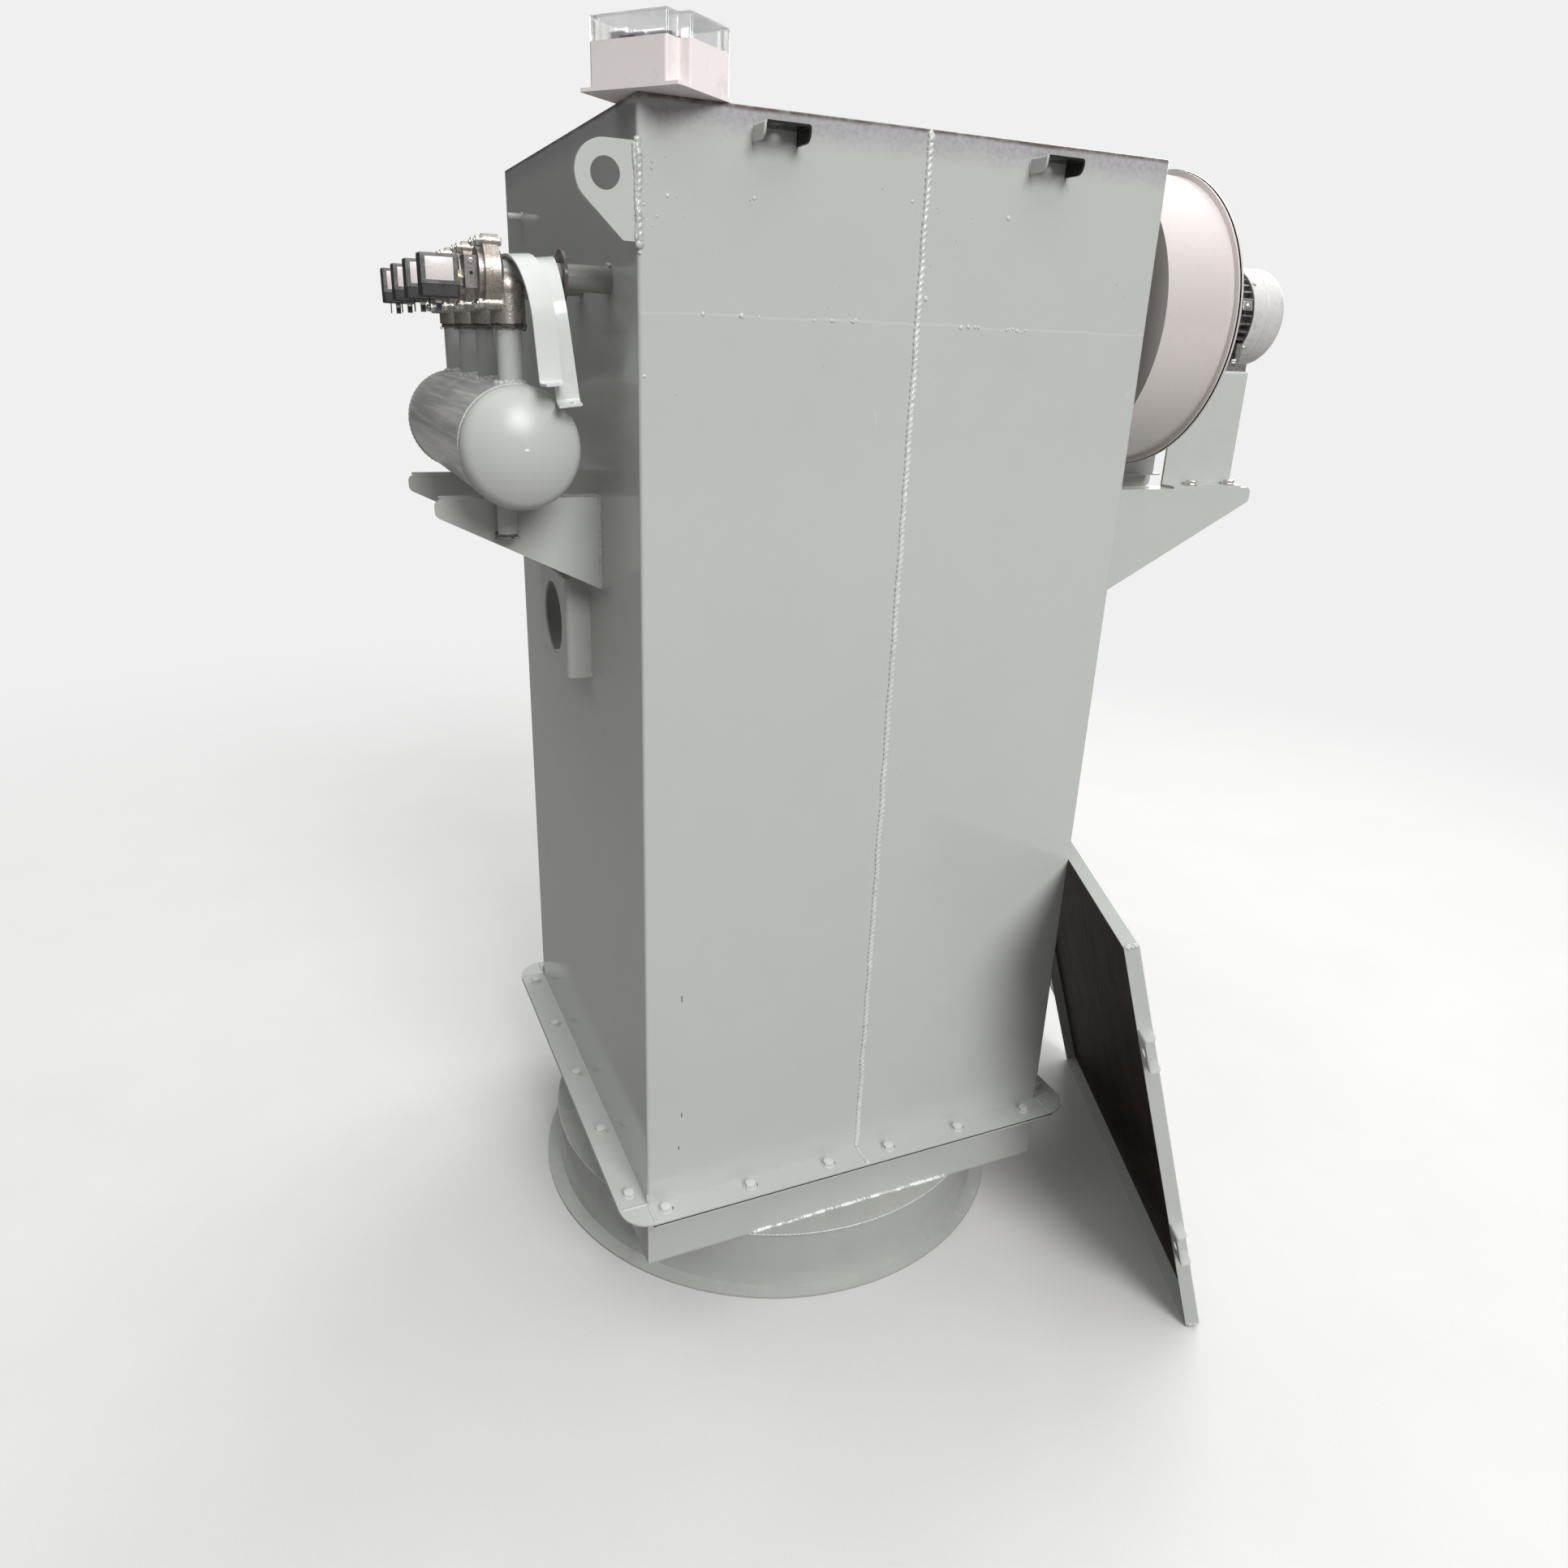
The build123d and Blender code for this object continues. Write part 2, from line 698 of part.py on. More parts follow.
def cover_place():
    """Where the cover leans: its lower rim edge on the floor, its upper rim edge against the
    rounded front right corner of the housing."""
    yaw = math.radians(cover_yaw)
    lean = math.radians(cover_lean)
    along = Vector(math.cos(yaw), math.sin(yaw), 0)
    inward = Vector(-math.sin(yaw), math.cos(yaw), 0)
    outward = inward * -math.cos(lean) + Vector(0, 0, math.sin(lean))
    corner = Vector(half - bend, -half + bend, 0) - inward * (bend + fit)
    depth = cover_width * math.sin(lean) + cover_rim * math.cos(lean)
    foot = corner - along * cover_contact - inward * depth
    origin = foot + Vector(0, 0, cover_rim * math.sin(lean))
    return Location(Plane(origin=origin, x_dir=along, z_dir=outward))


def top_cover():
    """The square pan cover: panel and four folded rims."""
    middle = Pos(cover_width / 2, cover_width / 2, -cover_rim)
    outer = extrude(RectangleRounded(cover_width, cover_width, cover_bend), cover_rim)
    outer = fillet(outer.edges().group_by(Axis.Z)[-1], fold_radius)
    inner_side = cover_width - 2 * sheet
    inner = extrude(Rectangle(inner_side, inner_side), cover_rim - sheet)
    return cover_place() * middle * (outer - inner)


def cover_clips():
    """The four clips on the cover that meet those on the housing."""
    clips = []
    for from_left in clip_from_left:
        along = cover_width - (from_left + cover_play + sheet)
        near = Pos(0, along, -cover_rim) * Rot(180, 0, 0) * Rot(0, 0, -90) * clip()
        clips.append(cover_place() * near)
        far = Pos(cover_width, along, -cover_rim) * Rot(180, 0, 0) * Rot(0, 0, 90) * clip()
        clips.append(cover_place() * far)
    return Compound(children=clips)


def box_place():
    """The controller's place on the rim of the housing, turned across the corner."""
    return Pos(box_centre[0] - half, box_centre[1] - half, top) * Rot(0, 0, box_turn)


def controller_base():
    """The moulded foot plate with four screw holes."""
    plate = RectangleRounded(box_plate_length, box_plate_width, box_plate_corner)
    x = box_plate_length / 2 - box_pocket[0] / 2
    y = box_plate_width / 2 - box_pocket[1] / 2
    for corner in ((x, y), (x, -y), (-x, y), (-x, -y)):
        plate = plate - Pos(*corner) * Circle(box_screw_hole / 2)
    return box_place() * extrude(plate, box_plate_thickness)


def box_outline(inset):
    """The outline of the controller body from above: a rectangle with a pocket for a fixing
    screw at two opposite corners and one open end on the left, drawn in by an inset."""
    outline = Rectangle(box_length - 2 * inset, box_width - 2 * inset)
    pocket = Rectangle(2 * box_pocket[0] + 2 * inset, 2 * box_pocket[1] + 2 * inset)
    right = box_length / 2
    deep = box_width / 2
    outline = outline - Pos(right, -deep) * pocket - Pos(-right, deep) * pocket
    return fillet(outline.vertices(), max(box_corner - inset, box_inner_corner))


def box_middle(level):
    """The middle of the controller body above its foot plate."""
    along = (box_plate_length - box_length) / 2
    across = (box_plate_width - box_width) / 2
    return box_place() * Pos(along, -across, level)


def controller_box():
    """The white lower half of the controller, open at the top."""
    box = extrude(box_outline(0), box_height)
    box = box - Pos(0, 0, box_wall) * extrude(box_outline(box_wall), box_height)
    return box_middle(box_plate_thickness) * box


def controller_lid():
    """The clear lid with its solid screw columns in the free corners."""
    outer = extrude(box_outline(0), box_lid_height)
    outer = fillet(outer.edges().group_by(Axis.Z)[-1], box_lid_edge)
    inner = box_outline(box_wall)
    for side in (-1, 1):
        corner = Pos(side * box_length / 2, side * box_width / 2)
        inner = inner - corner * Rectangle(2 * box_column, 2 * box_column)
    lid = outer - extrude(inner, box_lid_height - box_wall)
    return box_middle(box_plate_thickness + box_height) * lid


def scroll_radius(turn, grow=0.0):
    """Radius of the fan casing after a turn in degrees from the tongue at the top, going
    over the front side."""
    return fan_start_radius + fan_growth * turn / 360 + grow


def scroll_face(grow, reach):
    """The casing outline in the YZ plane about the fan axis: a spiral that opens into an
    upright outlet at the back. A positive grow makes it larger all round."""
    points = []
    for turn in range(0, fan_outlet_turn + 1, scroll_step):
        radius = scroll_radius(turn, grow)
        angle = math.radians(90 + turn)
        points.append((radius * math.cos(angle), radius * math.sin(angle)))
    first = points[0]
    last = points[-1]
    mouth = last[0] - fan_outlet_depth - grow
    lines = [
        Spline(*points),
        Line(last, (last[0], reach)),
        Line((last[0], reach), (mouth, reach)),
        Line((mouth, reach), (mouth, first[1] + fan_tongue_radius)),
        Line((mouth, first[1] + fan_tongue_radius), first),
    ]
    return make_face(Wire(lines))


def scroll_slab(grow, reach, start, end):
    """A slab of the casing outline between two places along X."""
    return Pos(start, fan_y, fan_level) * extrude(Plane.YZ * scroll_face(grow, reach), end - start)


def fan_casing():
    """The spiral casing: front plate, band, an outward rim at the back and the outlet flange."""
    casing = scroll_slab(0, fan_outlet_height, fan_front, fan_back)
    casing = casing + scroll_slab(fan_rim, fan_outlet_height, fan_back - sheet, fan_back)
    lip_back = scroll_radius(fan_outlet_turn) + fan_outlet_flange
    lip_front = scroll_radius(fan_outlet_turn) - fan_outlet_depth - fan_outlet_flange
    mouth = fan_level + fan_outlet_height
    lip_start = fan_front - fan_outlet_flange + sheet
    casing = casing + block(lip_start, fan_back, fan_y + lip_front, fan_y + lip_back, mouth - sheet, mouth)
    hollow = scroll_slab(-sheet, fan_outlet_height + past, fan_front + sheet, fan_back + past)
    inlet = cylinder_x(fan_inlet_radius, fan_front - past, fan_front + sheet + past, fan_y, fan_level)
    return casing - hollow - inlet


def fan_back_plate():
    """The plate that closes the casing behind, set off from its rim by a narrow groove."""
    step = scroll_slab(fan_rim / 2, fan_outlet_height, fan_back, fan_back + fan_groove)
    plate = scroll_slab(fan_rim + fan_back_margin, fan_outlet_height, fan_back + fan_groove, back_plate_end)
    bore_radius = impeller_hub_radius + impeller_hub_play
    bore = cylinder_x(bore_radius, fan_back - past, back_plate_end + past, fan_y, fan_level)
    return step + plate - bore


def inlet_ring():
    """The ring between the housing wall and the fan's inlet."""
    ring = cylinder_x(fan_inlet_ring_radius, half, fan_front, fan_y, fan_level)
    return ring - cylinder_x(fan_inlet_radius, half - past, fan_front + past, fan_y, fan_level)


def impeller():
    """The fan wheel: back disc, hub, curved blades and an inlet shroud."""
    end = fan_back - impeller_gap
    start = end - impeller_width
    wheel = cylinder_x(impeller_radius, end - sheet, end, 0, 0)
    shroud = cylinder_x(impeller_radius, start, start + sheet, 0, 0)
    eye = fan_inlet_radius - shroud_inside_inlet
    shroud = shroud - cylinder_x(eye, start - past, start + sheet + past, 0, 0)
    wheel = wheel + shroud
    root = (0, fan_inlet_radius - blade_inside_inlet)
    lean = math.radians(blade_angle)
    tip = (impeller_radius * math.sin(lean / 2), impeller_radius * math.cos(lean / 2) - blade_inside_rim)
    middle = ((root[0] + tip[0]) / 2 - blade_bow, (root[1] + tip[1]) / 2)
    back_root = (root[0] + blade_thickness, root[1])
    back_tip = (tip[0] + blade_thickness, tip[1] - blade_thickness / 2)
    back_middle = (middle[0] + blade_thickness, middle[1])
    section = [
        ThreePointArc(root, middle, tip),
        Line(tip, back_tip),
        ThreePointArc(back_tip, back_middle, back_root),
        Line(back_root, root),
    ]
    blade = extrude(Plane.YZ * make_face(Wire(section)), impeller_width - sheet)
    for i in range(impeller_blades):
        wheel = wheel + Rot(360 * i / impeller_blades, 0, 0) * Pos(start + sheet / 2, 0, 0) * blade
    hub = cylinder_x(impeller_hub_radius, end - impeller_hub_length, back_plate_end - fit, 0, 0)
    return Pos(0, fan_y, fan_level) * (wheel + hub)


def motor_body():
    """The finned motor frame with its mounting flange at the fan end and the shield that
    carries the cowl at the other."""
    start = back_plate_end
    end = start + motor_body_length
    body = cylinder_x(motor_core_radius, start, end, 0, 0)
    flange = cylinder_x(motor_flange_radius, start, start + motor_flange_thickness, 0, 0)
    shield = cylinder_x(cowl_radius - cowl_wall - fit, end - motor_shield_thickness, end, 0, 0)
    section = Circle(motor_core_radius)
    fin = Pos(0, (motor_core_radius + motor_fin_radius) / 2)
    fin = fin * Rectangle(motor_fin_thickness, motor_fin_radius - motor_core_radius + 2 * into)
    for i in range(motor_fins):
        section = section + Rot(0, 0, 360 * i / motor_fins) * fin
    fin_length = motor_body_length - motor_flange_thickness - motor_shield_thickness
    fins = Pos(start + motor_flange_thickness, 0, 0) * extrude(Plane.YZ * section, fin_length)
    return Pos(0, fan_y, fan_level) * (body + flange + fins + shield)


def motor_cowl():
    """The pressed fan cowl over the motor's rear end, with slots in its face."""
    start = back_plate_end + motor_body_length - cowl_overlap
    end = start + cowl_length
    outer = cylinder_x(cowl_radius, start, end, 0, 0)
    outer = fillet(outer.edges().sort_by(Axis.X)[-1], cowl_corner)
    inner = cylinder_x(cowl_radius - cowl_wall, start - past, end - cowl_corner, 0, 0)
    cavity = cylinder_x(cowl_radius - cowl_corner, end - cowl_corner - past, end - cowl_wall, 0, 0)
    cowl = outer - inner - cavity
    for i in range(cowl_slots):
        radius = cowl_first_slot + cowl_slot_pitch * i
        ring = Circle(radius + cowl_slot_width / 2) - Circle(radius - cowl_slot_width / 2)
        ring = ring - Rectangle(cowl_spoke, 2 * cowl_radius) - Rectangle(2 * cowl_radius, cowl_spoke)
        cowl = cowl - Pos(end - cowl_wall - past, 0, 0) * extrude(Plane.YZ * ring, cowl_wall + 2 * past)
    return Pos(0, fan_y, fan_level) * cowl


def motor_foot():
    """The cast feet: two rails on the stand and the saddle ribs up to the frame."""
    start = back_plate_end + foot_from_back_plate
    end = start + foot_length
    feet = []
    for side in (-1, 1):
        y = side * foot_span / 2
        low = -motor_height
        rail = block(start, end, y - foot_width / 2, y + foot_width / 2, low, low + foot_thickness)
        near_y, far_y = sorted((side * (foot_span / 2 - foot_width / 2), side * foot_span / 2))
        for x in (start, end - foot_rib_thickness):
            rail = rail + block(x, x + foot_rib_thickness, near_y, far_y, low, low + foot_rib_height)
        feet.append(rail - cylinder_x(motor_fin_radius + fit, start - past, end + past, 0, 0))
    return Pos(0, fan_y, fan_level) * Compound(children=feet)


def motor_stand():
    """The folded stand under the motor: top, two legs and outward feet."""
    start = back_plate_end + stand_from_back_plate
    end = start + stand_length
    side = stand_width / 2
    profile = Polyline(
        (-side - stand_flange, -stand_height), (-side - stand_flange, -stand_height + stand_sheet),
        (-side, -stand_height + stand_sheet), (-side, 0), (side, 0), (side, -stand_height + stand_sheet),
        (side + stand_flange, -stand_height + stand_sheet), (side + stand_flange, -stand_height),
        (side - stand_sheet, -stand_height), (side - stand_sheet, -stand_sheet),
        (-side + stand_sheet, -stand_sheet), (-side + stand_sheet, -stand_height), close=True)
    face = make_face(profile)
    shoulders = face.vertices().group_by(Axis.Y)[-1]
    face = fillet(shoulders, bend)
    return Pos(start, fan_y, stand_top) * extrude(Plane.YZ * face, end - start)


def fan_bracket(side):
    """One of the two brackets under the motor stand, before (-1) or behind (+1) the axis."""
    y = fan_y + side * (stand_width / 2 + stand_flange + fan_bracket_play)
    bracket = gusset(fan_bracket_length, fan_bracket_root, fan_bracket_tip, bracket_flange, -side)
    return Pos(half, y, stand_bottom) * bracket


parts = {
    "base_ring": base_ring(),
    "closing_plate": closing_plate(),
    "skirt_front": skirt_side(0),
    "skirt_right": skirt_side(90),
    "skirt_back": skirt_side(180),
    "skirt_left": skirt_side(270),
    "flange_seal": flange_seal(),
    "housing_left_half": half_shell(-1),
    "housing_right_half": half_shell(1),
    "flange_corner_plates": corner_plates(),
    "tube_sheet": tube_sheet(),
    "blow_pipes": Compound(children=[blow_pipe(y) for y in rows]),
    "wall_stiffeners": wall_stiffeners(),
    "pipe_rest_bar": pipe_rest(),
    "tank_shell": tank_shell(),
    "tank_end_front": tank_end(False),
    "tank_end_back": tank_end(True),
    "tank_risers": risers(),
    "drain_socket": drain_socket(),
    "valve_bodies": Compound(children=[valve_body(y) for y in rows]),
    "valve_covers": Compound(children=[valve_cover(y) for y in rows]),
    "valve_pilots": Compound(children=[valve_pilot(y) for y in rows]),
    "valve_coils": Compound(children=[coil_box(y) for y in rows]),
    "tank_brackets": tank_brackets(),
    "tank_hoop_outer": hoop(*outer_hoop),
    "tank_hoop_inner": hoop(*inner_hoop),
    "pipe_discs": pipe_discs(),
    "standoff_bracket": standoff_bracket(),
    "wall_stub": wall_stub(),
    "lifting_lugs": lifting_lugs(),
    "housing_clips": housing_clips(),
    "top_cover": top_cover(),
    "cover_clips": cover_clips(),
    "controller_base": controller_base(),
    "controller_box": controller_box(),
    "controller_lid": controller_lid(),
    "fan_casing": fan_casing(),
    "fan_back_plate": fan_back_plate(),
    "fan_inlet_ring": inlet_ring(),
    "fan_impeller": impeller(),
    "motor_body": motor_body(),
    "motor_cowl": motor_cowl(),
    "motor_foot": motor_foot(),
    "motor_stand": motor_stand(),
    "fan_brackets": Compound(children=[fan_bracket(-1), fan_bracket(1)]),
}

os.makedirs("parts", exist_ok=True)
for name, shape in parts.items():
    export_step(shape, f"parts/{name}.step")
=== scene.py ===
import bpy
import math
import numpy as np
from mathutils import Matrix, Vector


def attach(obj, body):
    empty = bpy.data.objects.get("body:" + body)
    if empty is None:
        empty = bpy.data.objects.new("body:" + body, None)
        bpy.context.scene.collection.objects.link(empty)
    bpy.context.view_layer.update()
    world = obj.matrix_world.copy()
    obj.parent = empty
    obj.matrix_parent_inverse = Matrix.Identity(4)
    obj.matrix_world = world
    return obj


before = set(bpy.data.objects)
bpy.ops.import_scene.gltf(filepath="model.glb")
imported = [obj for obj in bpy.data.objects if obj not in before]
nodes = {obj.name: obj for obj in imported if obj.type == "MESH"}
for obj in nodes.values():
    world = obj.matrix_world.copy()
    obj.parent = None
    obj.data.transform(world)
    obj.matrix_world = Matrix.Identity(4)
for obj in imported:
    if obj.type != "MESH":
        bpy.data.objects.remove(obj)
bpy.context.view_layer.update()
scene = bpy.context.scene
scene.view_settings.view_transform = "Standard"


def lookTable(keys, **rows):
    # one dictionary for each row, so that the looks of like things read as a table
    return {name: dict(zip(keys.split(), row)) for name, row in rows.items()}


# camera: the photograph's place and angle, solved from the square housing
cameraLook = {"place": (-0.8414, -1.8469, 1.6278), "pitchDown": 21.505, "roll": -2.2556, "yawToRight": 24.715,
              "lens": 25.525, "sensor": 36.0}


def makeCamera(look):
    # forward comes from yaw and pitch, then right and down turn about it by the roll
    pitch, roll, yaw = (math.radians(look[k]) for k in ("pitchDown", "roll", "yawToRight"))
    forward = Vector((math.sin(yaw) * math.cos(pitch), math.cos(yaw) * math.cos(pitch), -math.sin(pitch)))
    levelRight = Vector((math.cos(yaw), -math.sin(yaw), 0))
    levelDown = forward.cross(levelRight)
    right = math.cos(roll) * levelRight + math.sin(roll) * levelDown
    down = -math.sin(roll) * levelRight + math.cos(roll) * levelDown
    data = bpy.data.cameras.new("photoCamera")
    data.lens = look["lens"]
    data.sensor_width = look["sensor"]
    data.sensor_fit = "HORIZONTAL"
    camera = bpy.data.objects.new("photoCamera", data)
    turn = Matrix((right, -down, -forward)).transposed()
    camera.matrix_world = Matrix.Translation(look["place"]) @ turn.to_4x4()
    scene.collection.objects.link(camera)
    scene.camera = camera


makeCamera(cameraLook)


# small helpers for node trees; a socket knows its own tree
def feed(socket, value):
    # another socket is linked, a number or a colour of three values is set
    if isinstance(value, bpy.types.NodeSocket):
        socket.id_data.links.new(value, socket)
    else:
        socket.default_value = (*value, 1) if socket.type == "RGBA" else value


def addNode(tree, kind, settings=None, **inputs):
    # in0, in1 and so on are inputs by number, other names are the sockets' own with _ for a space
    made = tree.nodes.new("ShaderNode" + kind)
    for name, value in (settings or {}).items():
        setattr(made, name, value)
    for name, value in inputs.items():
        feed(made.inputs[int(name[2:]) if name[2:].isdigit() else name.replace("_", " ")], value)
    return made


def calc(how, *values):
    # one math node for sockets and numbers, in the tree of the first socket
    tree = next(value.id_data for value in values if isinstance(value, bpy.types.NodeSocket))
    inputs = {f"in{k}": value for k, value in enumerate(values)}
    return addNode(tree, "Math", {"operation": how}, **inputs).outputs[0]


# sums and products: first + second, first - second, first x second, first x second + third
def plus(first, second):
    return calc("ADD", first, second)


def minus(first, second):
    return calc("SUBTRACT", first, second)


def times(first, second):
    return calc("MULTIPLY", first, second)


def timesPlus(first, second, third):
    return calc("MULTIPLY_ADD", first, second, third)


def stretch(value, fromLow, fromHigh, low=0.0, high=1.0):
    # t is (value - fromLow) / (fromHigh - fromLow), held in 0 to 1: low + (high - low) t t (3 - 2 t)
    return addNode(value.id_data, "MapRange", {"interpolation_type": "SMOOTHSTEP"}, Value=value,
                   From_Min=fromLow, From_Max=fromHigh, To_Min=low, To_Max=high).outputs[0]


def blend(share, first, second):
    # a colour: first + share (second - first)
    return addNode(share.id_data, "Mix", {"data_type": "RGBA"}, in0=share, in6=first, in7=second).outputs[2]


def noise(where, scale, detail=3.0, rough=0.5):
    # clouds from 0 to 1, with about scale lumps to a metre
    return addNode(where.id_data, "TexNoise", None, Vector=where, Scale=scale, Detail=detail,
                   Roughness=rough).outputs["Fac"]


def scaled(where, scale, turn=(0, 0, 0)):
    # the place times scale along each axis, then turned
    return addNode(where.id_data, "Mapping", None, Vector=where, Scale=scale, Rotation=turn).outputs[0]


def dotWith(where, direction):
    # how far the place lies along the direction: their dot product
    return addNode(where.id_data, "VectorMath", {"operation": "DOT_PRODUCT"}, in0=where,
                   in1=direction).outputs["Value"]


def partOf(vector, axis):
    # its x, y or z, by number
    return addNode(vector.id_data, "SeparateXYZ", None, Vector=vector).outputs[axis]


def facing(tree):
    # the way the face looks
    return addNode(tree, "NewGeometry").outputs["Normal"]


def seenRay(tree):
    # 1 for rays that come from the camera or look through the clear lid
    path = addNode(tree, "LightPath").outputs
    return calc("MAXIMUM", path["Is Camera Ray"], path["Is Transmission Ray"])


# light: a large soft window far before the front, weaker ones at the fan side and the back,
# and a sky that is brightest overhead
lightLook = {
    "lamps": lookTable("place aim size power",
                       frontWindow=((0.8, -12.0, 8.6), 1.0, 6.4, 1560.0),
                       fanWindow=((4.2, 1.4, 3.6), 1.2, 3.0, 62.0),
                       backWindow=((8.5, 9.0, 5.0), 1.0, 5.0, 620.0)),
    "skyLow": 0.07, "skyHigh": 1.6, "skyRise": (0.40, 0.95), "skyColour": (0.97, 0.985, 1.0), "skySeen": 0.87,
}


def makeLight(look):
    # each lamp looks at the upright axis at its aim; the sky's strength is a smooth step of height
    for name, lamp in look["lamps"].items():
        data = bpy.data.lights.new(name, "AREA")
        data.shape, data.size, data.energy = "DISK", lamp["size"], lamp["power"]
        made = bpy.data.objects.new(name, data)
        made.location = lamp["place"]
        towards = Vector((0, 0, lamp["aim"])) - Vector(lamp["place"])
        made.rotation_euler = towards.to_track_quat("-Z", "Y").to_euler()
        scene.collection.objects.link(made)
    scene.world = bpy.data.worlds.new("studio")
    scene.world.use_nodes = True
    tree = scene.world.node_tree
    tree.nodes.clear()
    height = partOf(addNode(tree, "TexCoord").outputs["Generated"], 2)
    glow = stretch(height, *look["skyRise"], look["skyLow"], look["skyHigh"])
    lit = addNode(tree, "Background", None, Color=look["skyColour"], Strength=glow)
    pale = addNode(tree, "Background", None, Color=(1, 1, 1), Strength=look["skySeen"])
    mix = addNode(tree, "MixShader", None, in0=seenRay(tree), in1=lit.outputs[0], in2=pale.outputs[0])
    addNode(tree, "OutputWorld", None, Surface=mix.outputs[0])


makeLight(lightLook)
print("camera and light are set")


def newGroup(name, inputs, outputs):
    # sockets are written as Label:Kind, with _ for a space
    group = bpy.data.node_groups.new(name, "ShaderNodeTree")
    for way, sockets in (("INPUT", inputs), ("OUTPUT", outputs)):
        for socket in sockets.split():
            label, kind = socket.replace("_", " ").split(":")
            group.interface.new_socket(label, in_out=way, socket_type="NodeSocket" + kind)
    return group, group.nodes.new("NodeGroupInput").outputs, group.nodes.new("NodeGroupOutput").inputs


# sprayed paint: two layers of mottle, fine orange peel, fallen dust and pale scuffs
sprayLook = {
    "wide": (2.3, 4.0, 0.6), "cloud": (13.0, 5.0, 0.65),  # scale, detail, rough
    "wideShare": 0.55, "cloudShare": 0.45,
    "dustColour": (0.47, 0.45, 0.41), "dustFacing": (0.35, 0.95), "dustCloud": (0.2, 0.9), "dustRough": 0.5,
    "scuffColour": (0.62, 0.62, 0.60), "scuffStretch": (3.0, 60.0, 22.0), "scuffTurn": (0.6, 0.9, 0.5),
    "scuffLine": (0.735, 0.77), "scuffWhere": (0.52, 0.66), "scuffRough": 0.2, "patchRough": 0.05,
    "peel": 260.0, "peelShare": 0.035, "waves": 9.0,
}


def sprayGroup(look):
    group, given, out = newGroup(
        "sprayedPaint", "Place:Vector Paint:Color Mottle:Float Dust:Float Scuffs:Float Roughness:Float",
        "Colour:Color Roughness:Float Height:Float")
    place = given["Place"]
    wide, cloud = (stretch(noise(place, *look[layer]), 0.3, 0.7) for layer in ("wide", "cloud"))
    both = timesPlus(cloud, look["cloudShare"], times(wide, look["wideShare"]))
    lift = times(minus(both, 0.5), given["Mottle"])
    mottled = addNode(group, "HueSaturation", None, Value=plus(lift, 1.0), Color=given["Paint"]).outputs[0]
    # dust lies where a face looks up and the cloud is thick
    lying = times(stretch(partOf(facing(group), 2), *look["dustFacing"]), stretch(cloud, *look["dustCloud"]))
    dusty = times(lying, given["Dust"])
    colour = blend(dusty, mottled, look["dustColour"])
    # scuffs are thin pale lines cut out of stretched noise at a slant
    slant = scaled(place, look["scuffStretch"], look["scuffTurn"])
    line = stretch(noise(slant, 1.6, 2.0, 0.5), *look["scuffLine"])
    where = stretch(noise(place, 4.2, 2.0, 0.5), *look["scuffWhere"])
    scuff = times(times(line, where), given["Scuffs"])
    feed(out["Colour"], blend(scuff, colour, look["scuffColour"]))
    patchy = times(minus(cloud, 0.5), look["patchRough"])
    rough = plus(plus(given["Roughness"], patchy), times(dusty, look["dustRough"]))
    feed(out["Roughness"], timesPlus(scuff, look["scuffRough"], rough))
    peel, waves = noise(place, look["peel"], 2.0, 0.5), noise(place, look["waves"], 1.0, 0.4)
    feed(out["Height"], timesPlus(peel, look["peelShare"], waves))
    return group


# the hot top edge: a burnt brown line, then a lilac-grey band of thin paint with an uneven lower end
heatLook = {"burnt": (0.10, 0.065, 0.05), "burnDepth": (0.0015, 0.0075), "lilac": (0.345, 0.325, 0.36),
            "bandDepth": (0.010, 0.046), "ragged": 0.024}


def heatGroup(look):
    group, given, out = newGroup("hotEdge", "Place:Vector Base:Color Edge_Level:Float", "Colour:Color")
    place = given["Place"]
    ragged = times(minus(noise(place, 16.0, 4.0, 0.6), 0.5), look["ragged"])
    depth = plus(minus(given["Edge Level"], partOf(place, 2)), ragged)
    thin = minus(1.0, stretch(depth, *look["bandDepth"]))
    grain = stretch(noise(place, 150.0, 3.0, 0.7), 0.35, 0.7, 0.45, 0.95)
    band = blend(times(thin, grain), given["Base"], look["lilac"])
    burn = minus(1.0, stretch(timesPlus(ragged, -0.75, depth), *look["burnDepth"]))
    spotty = times(burn, stretch(noise(place, 60.0, 3.0, 0.6), 0.3, 0.6, 0.55, 0.95))
    # the edge's own top, which looks up, is burnt less
    spotty = times(spotty, stretch(partOf(facing(group), 2), 0.5, 0.9, 1.0, 0.45))
    feed(out["Colour"], blend(spotty, band, look["burnt"]))
    return group


# cast or blasted metal: warm and cold speckle with pits
def speckleGroup():
    group, given, out = newGroup(
        "metalSpeckle", "Place:Vector Metal:Color Stain:Color Amount:Float Size:Float",
        "Colour:Color Mask:Float Height:Float")
    fine = noise(given["Place"], given["Size"], 3.0, 0.6)
    broad = noise(given["Place"], 38.0, 3.0, 0.6)
    mask = times(stretch(plus(fine, times(broad, 0.7)), 0.75, 1.0), given["Amount"])
    feed(out["Colour"], blend(mask, given["Metal"], given["Stain"]))
    feed(out["Mask"], mask)
    feed(out["Height"], fine)
    return group


# grime that gathers in blotches and thins out again
def grimeGroup():
    group, given, out = newGroup("grime", "Place:Vector Base:Color Grime:Color Amount:Float Size:Float",
                                 "Colour:Color Mask:Float")
    mask = times(stretch(noise(given["Place"], given["Size"], 6.0, 0.7), 0.5, 0.72), given["Amount"])
    feed(out["Colour"], blend(mask, given["Base"], given["Grime"]))
    feed(out["Mask"], mask)
    return group


groups = {"spray": sprayGroup(sprayLook), "heat": heatGroup(heatLook), "speckle": speckleGroup(),
          "grime": grimeGroup()}


